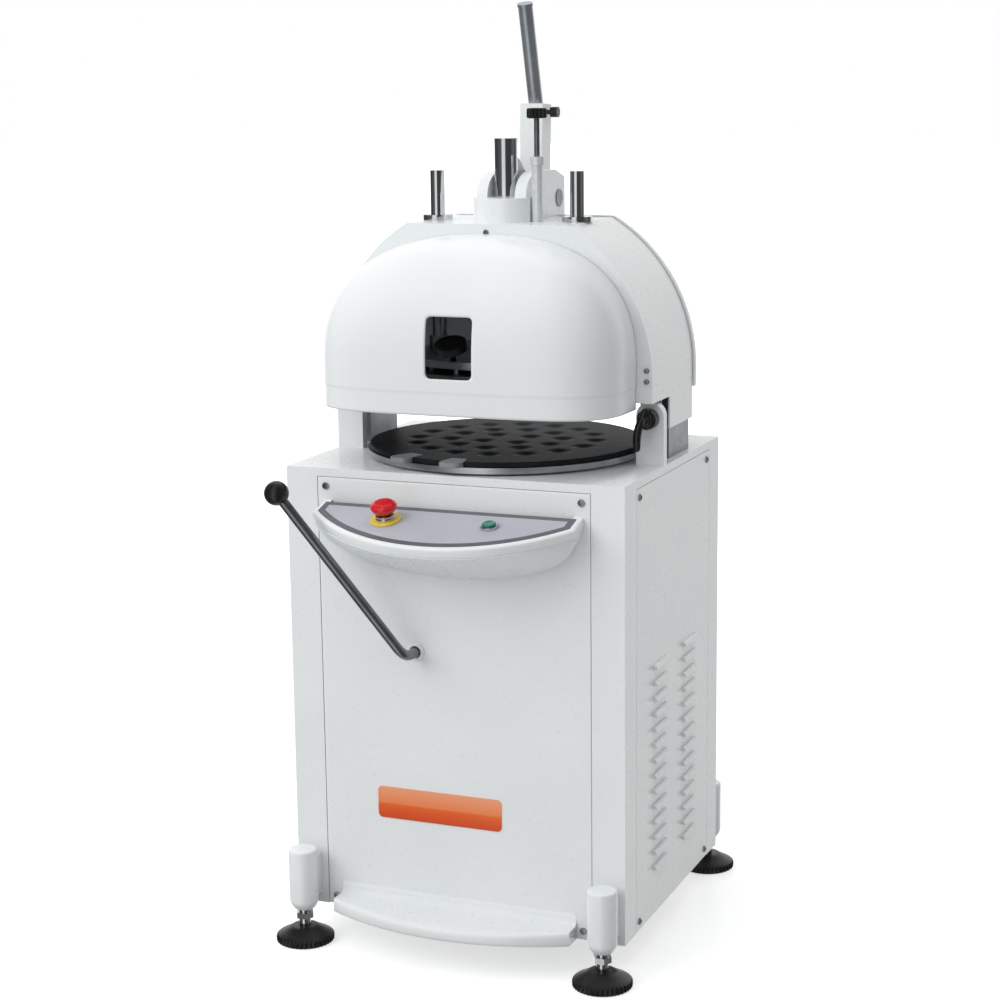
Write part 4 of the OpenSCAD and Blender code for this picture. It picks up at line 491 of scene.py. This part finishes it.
# %% Front panel and apron
FOLD = np.array([2.5, 0.8, 0.25, 0])
APRON = dict(half=215, out=95, sag=57)
SHEET, COLUMNS, ROWS = 1.2, 60, 90
across = np.concatenate([[-242, -242, -241.6, -240.6], np.linspace(-236, 236, COLUMNS), [240.6, 241.6, 242, 242]])
tall = np.concatenate([[59, 59, 59.4, 60.4], np.linspace(65, 805, ROWS), [809.6, 810.6, 811, 811]])
fold_x = np.concatenate([FOLD, np.zeros(COLUMNS), FOLD[::-1]])
fold_z = np.concatenate([FOLD, np.zeros(ROWS), FOLD[::-1]])
sheet = np.stack(np.broadcast_arrays(across, FRONT + np.maximum(fold_x, fold_z[:, None]), tall[:, None]), -1)
radius = (APRON["half"] ** 2 + APRON["sag"] ** 2) / (2 * APRON["sag"])
across = np.concatenate([[APRON["half"]], np.linspace(APRON["half"], -APRON["half"], 121), [-APRON["half"]]])
reach = APRON["out"] - radius + np.sqrt(radius ** 2 - across ** 2)
nose = soften([(0, 102), (2, 87), (16, 83), (84, 83), (95, 80), (95, 62), (88, 59)], 8, 8)
apron = np.stack(np.broadcast_arrays(across, FRONT - reach * nose[:, :1] / APRON["out"], nose[:, 1:]), -1).copy()
apron[:, [0, -1], 1] = FRONT
thicken(stand_in("front_sheet", "front_panel", [sheet, apron], closed=False), SHEET)

# %% [markdown]
# Legs and feet are turned shapes, and a block with round edges joins each leg to the cabinet. A foot is rubber with a
# toothed rim: its radius dips in 40 even waves, by the third number of each row of its profile.

# %% Legs and feet
TEETH = 40
spots = [(x, y) for x in (-272.7, 272.7) for y in (-290.5, 290.5)]
leg = lathe(soften([(0, 57.6), (17, 57.6), (25, 70.6), (25, 165.6), (0, 165.6)], 5), 48)
block = soften([(-17, 90), (-17, 149.6), (17, 149.6), (17, 73.6), (-17, 73.6), (-17, 90)], 4)
blocks = []
for x, y in spots:
    ends = np.array([[y], [np.sign(y) * -FRONT]])
    blocks.append(np.stack(np.broadcast_arrays(x - np.sign(y) * block[:, 0], ends, block[:, 1]), -1))
stand_in("leg_tubes", "leg_sockets", [leg + (x, y, 0) for x, y in spots] + blocks)
foot = [(0, 0, 0), (46, 0, 0), (49.5, 1.5, 1.6), (50, 4, 2.2), (50, 10, 2.2), (48.5, 12, 1.6), (46.5, 13, 0),
        (40, 16.5, 0), (26, 24, 0), (23, 26.4, 0), (19, 27, 0), (10.2, 27, 0), (10.2, 20, 0)]
foot = lathe(foot, 6 * TEETH, TEETH, [row[2] for row in foot])
stand_in("rubber_feet", "foot_pads", [foot + (x, y, 0) for x, y in spots])

# %% [markdown]
# Screws have round heads with a socket, drawn as a small step down in the profile. All the panel screws are one
# piece, and all the cover screws, which are smaller, another.

# %% Screws
SCREW_Z = (74, 796)
head = np.array([(6, 0), (6, 1.6), (5.4, 2.6), (4.2, 3), (3.2, 3), (3, 2.7), (2.9, 1.2), (0, 1.2)])
places = [((x, y, z), (0, y, 0)) for x in (-227, 227) for y in (FRONT, -FRONT) for z in SCREW_Z]
places += [((x, y, z), (x, 0, 0)) for x in (-300, 300) for y in (-182.5, 182.5) for z in SCREW_Z]
stand_in("panel_screw_heads", "panel_screws", [stand(lathe(head, 30), at, axis) for at, axis in places])
places = [(0, 1208.5), (281, 970), (281, 988), (-281, 970), (-281, 988)]
stand_in("cover_screw_heads", "cover_screws",
         [stand(lathe(head * (0.75, 1), 24), (x, -92, z), (0, -1, 0)) for x, z in places])

# %% [markdown]
# The stop button is a mushroom cap over a chrome neck and a yellow disc. The start button sits in a chrome rim. The
# profiles are radius and height above the console's face, and both buttons reach down into it to leave room for the
# push.

# %% Buttons
normal = (0, -math.sin(SLOPE), math.cos(SLOPE))
stop_at, start_at = on_console(-91.0, 58.0, 0.0), on_console(91.0, 58.0, 0.0)
disc = lathe(soften([(9.4, 0.8), (26, 0.8), (26, 3.8), (9.4, 3.8)], 1.2))
stand_in("stop_disc", "stop_collar", [stand(disc, stop_at, normal)])
neck = lathe(soften([(16.5, 3.6), (16.5, 7), (15.2, 7.8), (15.2, 9), (16.2, 10), (16.2, 11.8), (9.4, 11.8)], 0.8))
from_grids("stop_neck", [stand(neck, stop_at, normal)], "chrome", "base")
cap = lathe(soften([(9, -14), (9, 15.8), (9.4, 16.2), (17.5, 16.4), (22, 23), (22, 27.5), (15.5, 33.4),
                    (0, 34.2)], 3))
stand_in("stop_cap", "stop_button", [stand(cap, stop_at, normal)])
ring = lathe(soften([(11.4, 0.8), (14.5, 0.8), (14.5, 5.8), (11.4, 5.8), (11.4, 0.8)], 1.0))
stand_in("start_rim", "start_bezel", [stand(ring, start_at, normal)])
dome = lathe(soften([(11, -14), (11, 8.2), (9, 8.8), (0, 8.2)], 1.2))
stand_in("start_dome", "start_button", [stand(dome, start_at, normal)])

# %% [markdown]
# The rounding lever is a bent rod: the bend blends its two straight lines, and inside the cabinet it carries a cam
# that sits off its axis. It turns in a collar, which is shown white, as the photograph has it.

# %% Front lever
LEVER_X, LEVER_Z, ROD = -67, 525.0, 8.5
bend, knob = np.array([LEVER_X, -300, LEVER_Z]), np.array([-262, -363.5, 801.0])
path = soften([bend + (0, 141, 0), bend, knob + 9 * (bend - knob) / np.linalg.norm(bend - knob)], 24, 16)
cam = stand(lathe([(0, 0), (30, 0), (30, 12), (0, 12)]), (-75, -170.1, LEVER_Z), (0, 1, 0))
stand_in("bent_lever", "rounding_lever", [sweep(path, np.full(len(path), ROD), 32), cam])
collar = lathe(soften([(14, -85), (14, 0), (15, 0), (15, 3), (12.5, 5.5), (10, 5.5), (10, -85)], 1))
collar = stand_in("lever_collar", "lever_bush", [stand(collar, (LEVER_X, FRONT, LEVER_Z), (0, -1, 0))])
collar.data.materials[0] = by_slot["plastic_white"]

# %% [markdown]
# The head clamp is a hub on a stud, with a thin bowed handle under a boss. The handle leans a little, swells towards
# its middle by the root of a half wave, and is rounded off over the last bit of each end.

# %% Head clamp
CLAMP_X, CLAMP_Z, LEAN = 276, 905, math.radians(13)
hub = lathe(soften([(0, 0), (17, 0), (17, 21), (12, 25.6), (0, 25.6)], 3))
stud = lathe([(6, 0), (6, 35), (0, 35)])
boss = lathe(soften([(9, 0), (9, 10), (6.5, 13), (0, 13)], 2))
t = np.linspace(0, 1, 41)
down, bowed = 22 - 76 * t, 2.5 * np.cos(2 * np.pi * t) - 93.5
line = np.stack([CLAMP_X + down * math.sin(LEAN) - 5 * np.sin(np.pi * t), bowed,
                 CLAMP_Z + down * math.cos(LEAN)], -1)
handle = sweep(line, 4.5 + 2.3 * np.sin(np.pi * t) ** 0.5 - 4 * np.clip(np.abs(t - 0.5) - 0.46, 0, 1) / 0.04)
stand_in("clamp_handle", "head_clamp", [stand(hub, (CLAMP_X, -60.4, CLAMP_Z), (0, -1, 0)),
                                        stand(stud, (CLAMP_X, -61, CLAMP_Z), (0, 1, 0)), handle,
                                        stand(boss, (CLAMP_X, -86, CLAMP_Z), (0, -1, 0))])

# %% [markdown]
# The depth stop is a threaded rod with a knob. The rod's radius falls and rises once per turn and once per pitch,
# which is a helix. The knob's side has fifteen grips.

# %% Depth stop
STOP_X, STOP_Y, PITCH, GRIPS = 62, -15, 3, 15
around = np.linspace(0, 2 * np.pi, 20, endpoint=False)
up = np.arange(1000, 1407.1, 0.6)[:, None]
r = 5 - 0.3 * (1 + np.cos(2 * np.pi * up / PITCH - around))
thread = np.stack(np.broadcast_arrays(STOP_X + r * np.cos(around), STOP_Y + r * np.sin(around), up), -1)
stand_in("threaded_rod", "stop_rod", [thread])
grip = soften([(5.1, 0), (15, 0), (17, 2), (17, 15), (15, 17), (0, 17)], 1.5)
dips = np.where((grip[:, 1] > 1) & (grip[:, 1] < 16) & (grip[:, 0] > 15), 2.4, 0)
stand_in("depth_knob", "stop_knob", [lathe(grip, 12 * GRIPS, GRIPS, dips) + (STOP_X, STOP_Y, 1393)])

# %% [markdown]
# The moulding plate is a disc with thirty shallow dimples in three rings, one under each press pad. A dimple is the
# smooth bowl (1 - (d / r)^2)^2 of the distance d from its middle, where r is its radius.

# %% Moulding plate
TABLE_Y, PLATE_TOP, DIMPLE_R, DIMPLE_DEEP = -10, 848.4, 24, 3.6
around = np.linspace(0, 2 * np.pi, 540, endpoint=False)
out = np.concatenate([np.linspace(0, 234, 112), [235.4, 236, 236, 235]])[::-1, None]
fall = np.concatenate([np.zeros(112), [0.5, 1.6, 7.4, 8]])[::-1, None]
px, py = out * np.cos(around), out * np.sin(around)
sunk = fall + 0 * px
for count, ring_r in ((4, 44.34), (10, 96.44), (16, 154.85)):
    for a in (np.arange(count) + 0.5) * 2 * np.pi / count:
        far = np.hypot(px - ring_r * np.cos(a), py - ring_r * np.sin(a)) / DIMPLE_R
        sunk = sunk + DIMPLE_DEEP * np.clip(1 - far ** 2, 0, 1) ** 2
stand_in("dimpled_plate", "moulding_plate", [np.stack([px, py + TABLE_Y, PLATE_TOP - sunk], -1)])

# %% [markdown]
# Two hand tabs hang over the table's front edge, to lift the plate by. A tab is one outline, drawn in towards its
# middle over the top, with a small step for its rounded edge.

# %% Hand tabs
tab = soften([(-14, 205), (-20, 236), (-19, 252), (0, 258), (19, 252), (20, 236), (14, 205)], 9)
middle = np.array([0, 232])
tabs = []
for a in np.radians((-90, -114)):
    rows = np.array([np.concatenate([middle + (tab - middle) * k, np.full((len(tab), 1), z)], 1)
                     for k, z in ((1, 841), (1, 847.4), (0.97, 848.6), (0.5, 848.9), (0, 849))])
    tabs.append(np.stack([rows[..., 1] * math.cos(a) + rows[..., 0] * math.sin(a),
                          rows[..., 1] * math.sin(a) - rows[..., 0] * math.cos(a) + TABLE_Y, rows[..., 2]], -1))
from_grids("hand_tabs", tabs, "plastic_grey", "moulding_plate")

# %% [markdown]
# Sheet metal is never quite sharp: a live Bevel rounds the long edges of the cabinet and of the cast pieces.

# %% Rounded edges
EDGES = {"cabinet_frame": 2.0, "top_plate": 2.0, "front_posts": 1.5, "lever_bracket": 2.0, "lever_arm": 2.0,
         "head_band": 1.0, "hinge_plates": 1.0}
for node, width in EDGES.items():
    bevel = nodes[node].modifiers.new("round", "BEVEL")
    bevel.width, bevel.segments, bevel.limit_method = width * MM, 3, "ANGLE"
    bevel.angle_limit, bevel.use_clamp_overlap, bevel.harden_normals = math.radians(50), True, True
print("rounded", len(EDGES), "solids")

# %% [markdown]
# The studio stands on white paper. The floor glows a little where the camera sees it, and more with distance, so that
# lit paper is white out to its edge and only the shadow stays grey.

# %% Floor
HALF = 40
floor_mesh = bpy.data.meshes.new("floor")
floor_mesh.from_pydata([(-HALF, -HALF, 0), (HALF, -HALF, 0), (HALF, HALF, 0), (-HALF, HALF, 0)], [], [(0, 1, 2, 3)])
floor = bpy.data.objects.new("floor", floor_mesh)
bpy.context.scene.collection.objects.link(floor)
floor.visible_glossy = False
paper, tree, shader = finish("white studio floor", Roughness=0.15, IOR=1.4, Specular_IOR_Level=0.06)
shader.inputs["Base Color"].default_value = linear("#C8C9CA")
shader.inputs["Emission Color"].default_value = (1, 1, 1, 1)
ray = add(tree, "ShaderNodeLightPath", {})
spot = add(tree, "ShaderNodeTexCoord", {})
away = add(tree, "ShaderNodeVectorMath", {0: spot.outputs["Object"]}, operation="LENGTH")
lift = add(tree, "ShaderNodeMapRange", {"Value": away.outputs["Value"], "From Min": 1.0, "From Max": 2.4,
                                        "To Min": 0.6, "To Max": 1.2})
glow = add(tree, "ShaderNodeMath", {0: ray.outputs["Is Camera Ray"], 1: lift.outputs["Result"]}, operation="MULTIPLY")
tree.links.new(glow.outputs[0], shader.inputs["Emission Strength"])
floor_mesh.materials.append(paper)
print("floor", 2 * HALF, "m wide")

# %% [markdown]
# The room is white to the camera. Its soft light comes more from the left than from the right. Reflections see one
# bright panel in front, dark walls beside it and a white wall behind, as chrome needs something dark to show its
# shape. The walls are a ramp over the angle round the room, which starts and ends straight in front.

# %% World
WALLS = ((0.05, 1.0), (0.065, 0.16), (0.14, 0.1), (0.3, 0.04), (0.36, 1.0), (0.58, 1.0), (0.64, 0.06), (0.74, 0.18),
         (0.82, 0.06), (0.95, 0.07), (0.975, 1.0))
LEFT, RIGHT = 0.9, 0.42
world = bpy.data.worlds.new("white room")
bpy.context.scene.world = world
world.use_nodes = True
tree = world.node_tree
view = add(tree, "ShaderNodeTexCoord", {})
look = add(tree, "ShaderNodeSeparateXYZ", {"Vector": view.outputs["Generated"]})
bearing = add(tree, "ShaderNodeMath", {0: look.outputs["X"], 1: look.outputs["Y"]}, operation="ARCTAN2")
part = add(tree, "ShaderNodeMapRange", {"Value": bearing.outputs[0], "From Min": -math.pi, "From Max": math.pi})
walls = add(tree, "ShaderNodeValToRGB", {"Fac": part.outputs["Result"]})
stops = walls.color_ramp.elements
for at, grey in WALLS:
    stops.new(at).color = (grey, grey, grey, 1)
stops[0].color = stops[-1].color = (1, 1, 1, 1)
soft = add(tree, "ShaderNodeMapRange",
           {"Value": look.outputs["X"], "From Min": -1.0, "To Min": LEFT, "To Max": RIGHT})
ray = add(tree, "ShaderNodeLightPath", {})
# in a colour mix the inputs 0, 6 and 7 are the factor and the two colours, and output 2 is the colour
shown = add(tree, "ShaderNodeMix", {0: ray.outputs["Is Glossy Ray"], 6: soft.outputs["Result"],
                                    7: walls.outputs["Color"]}, data_type="RGBA")
seen = add(tree, "ShaderNodeMix", {0: ray.outputs["Is Camera Ray"], 6: shown.outputs[2], 7: (1, 1, 1, 1)},
           data_type="RGBA")
tree.links.new(seen.outputs[2], tree.nodes["Background"].inputs["Color"])
print("room with", len(stops), "stops round its walls")

# %% [markdown]
# Three square soft lamps light the object: a large key from the front left, a weak fill from the right and a wide one
# overhead. Gloss doesn't show them, since the walls already give it enough.

# %% Lamps
AIM = (0, 0, 0.8)
LAMPS = {"key": ((-2.6, -3.2, 3.2), 3.2, 104), "fill": ((3.6, -1.6, 2.0), 2.0, 7), "top": ((0, 0.3, 4.0), 5.0, 52)}
for name, (place, size, power) in LAMPS.items():
    light = bpy.data.lights.new(name, "AREA")
    light.shape, light.size, light.energy = "SQUARE", size, power
    made = bpy.data.objects.new(name, light)
    made.location = place
    made.rotation_mode = "QUATERNION"
    made.rotation_quaternion = (Vector(AIM) - Vector(place)).to_track_quat("-Z", "Y")
    made.visible_glossy = False
    bpy.context.scene.collection.objects.link(made)
    print(name, power, "W")

# %% [markdown]
# The camera was solved from the photograph's straight edges: how far round, how high and how far away it stood. It
# has a slight roll, as a camera held by hand does.

# %% Camera
CAMERA_AT, LENS, SENSOR = (1.3931, -3.3787, 1.4680), 77.57, 36.0
turn, lift, roll = (math.radians(v) for v in (22.517, 11.213, -0.707))
back = np.array([math.sin(turn) * math.cos(lift), -math.cos(turn) * math.cos(lift), math.sin(lift)])
right = np.array([math.cos(turn), math.sin(turn), 0.0])
up = np.cross(back, right)
across, upward = math.cos(roll) * right + math.sin(roll) * up, math.cos(roll) * up - math.sin(roll) * right
camera = bpy.data.objects.new("camera", bpy.data.cameras.new("camera"))
camera.data.lens, camera.data.sensor_width = LENS, SENSOR
camera.matrix_world = Matrix([[across[i], upward[i], back[i], CAMERA_AT[i]] for i in range(3)] + [[0, 0, 0, 1]])
bpy.context.scene.collection.objects.link(camera)
bpy.context.scene.camera = camera
bpy.context.scene.view_settings.view_transform = "Standard"
print("camera at", CAMERA_AT)
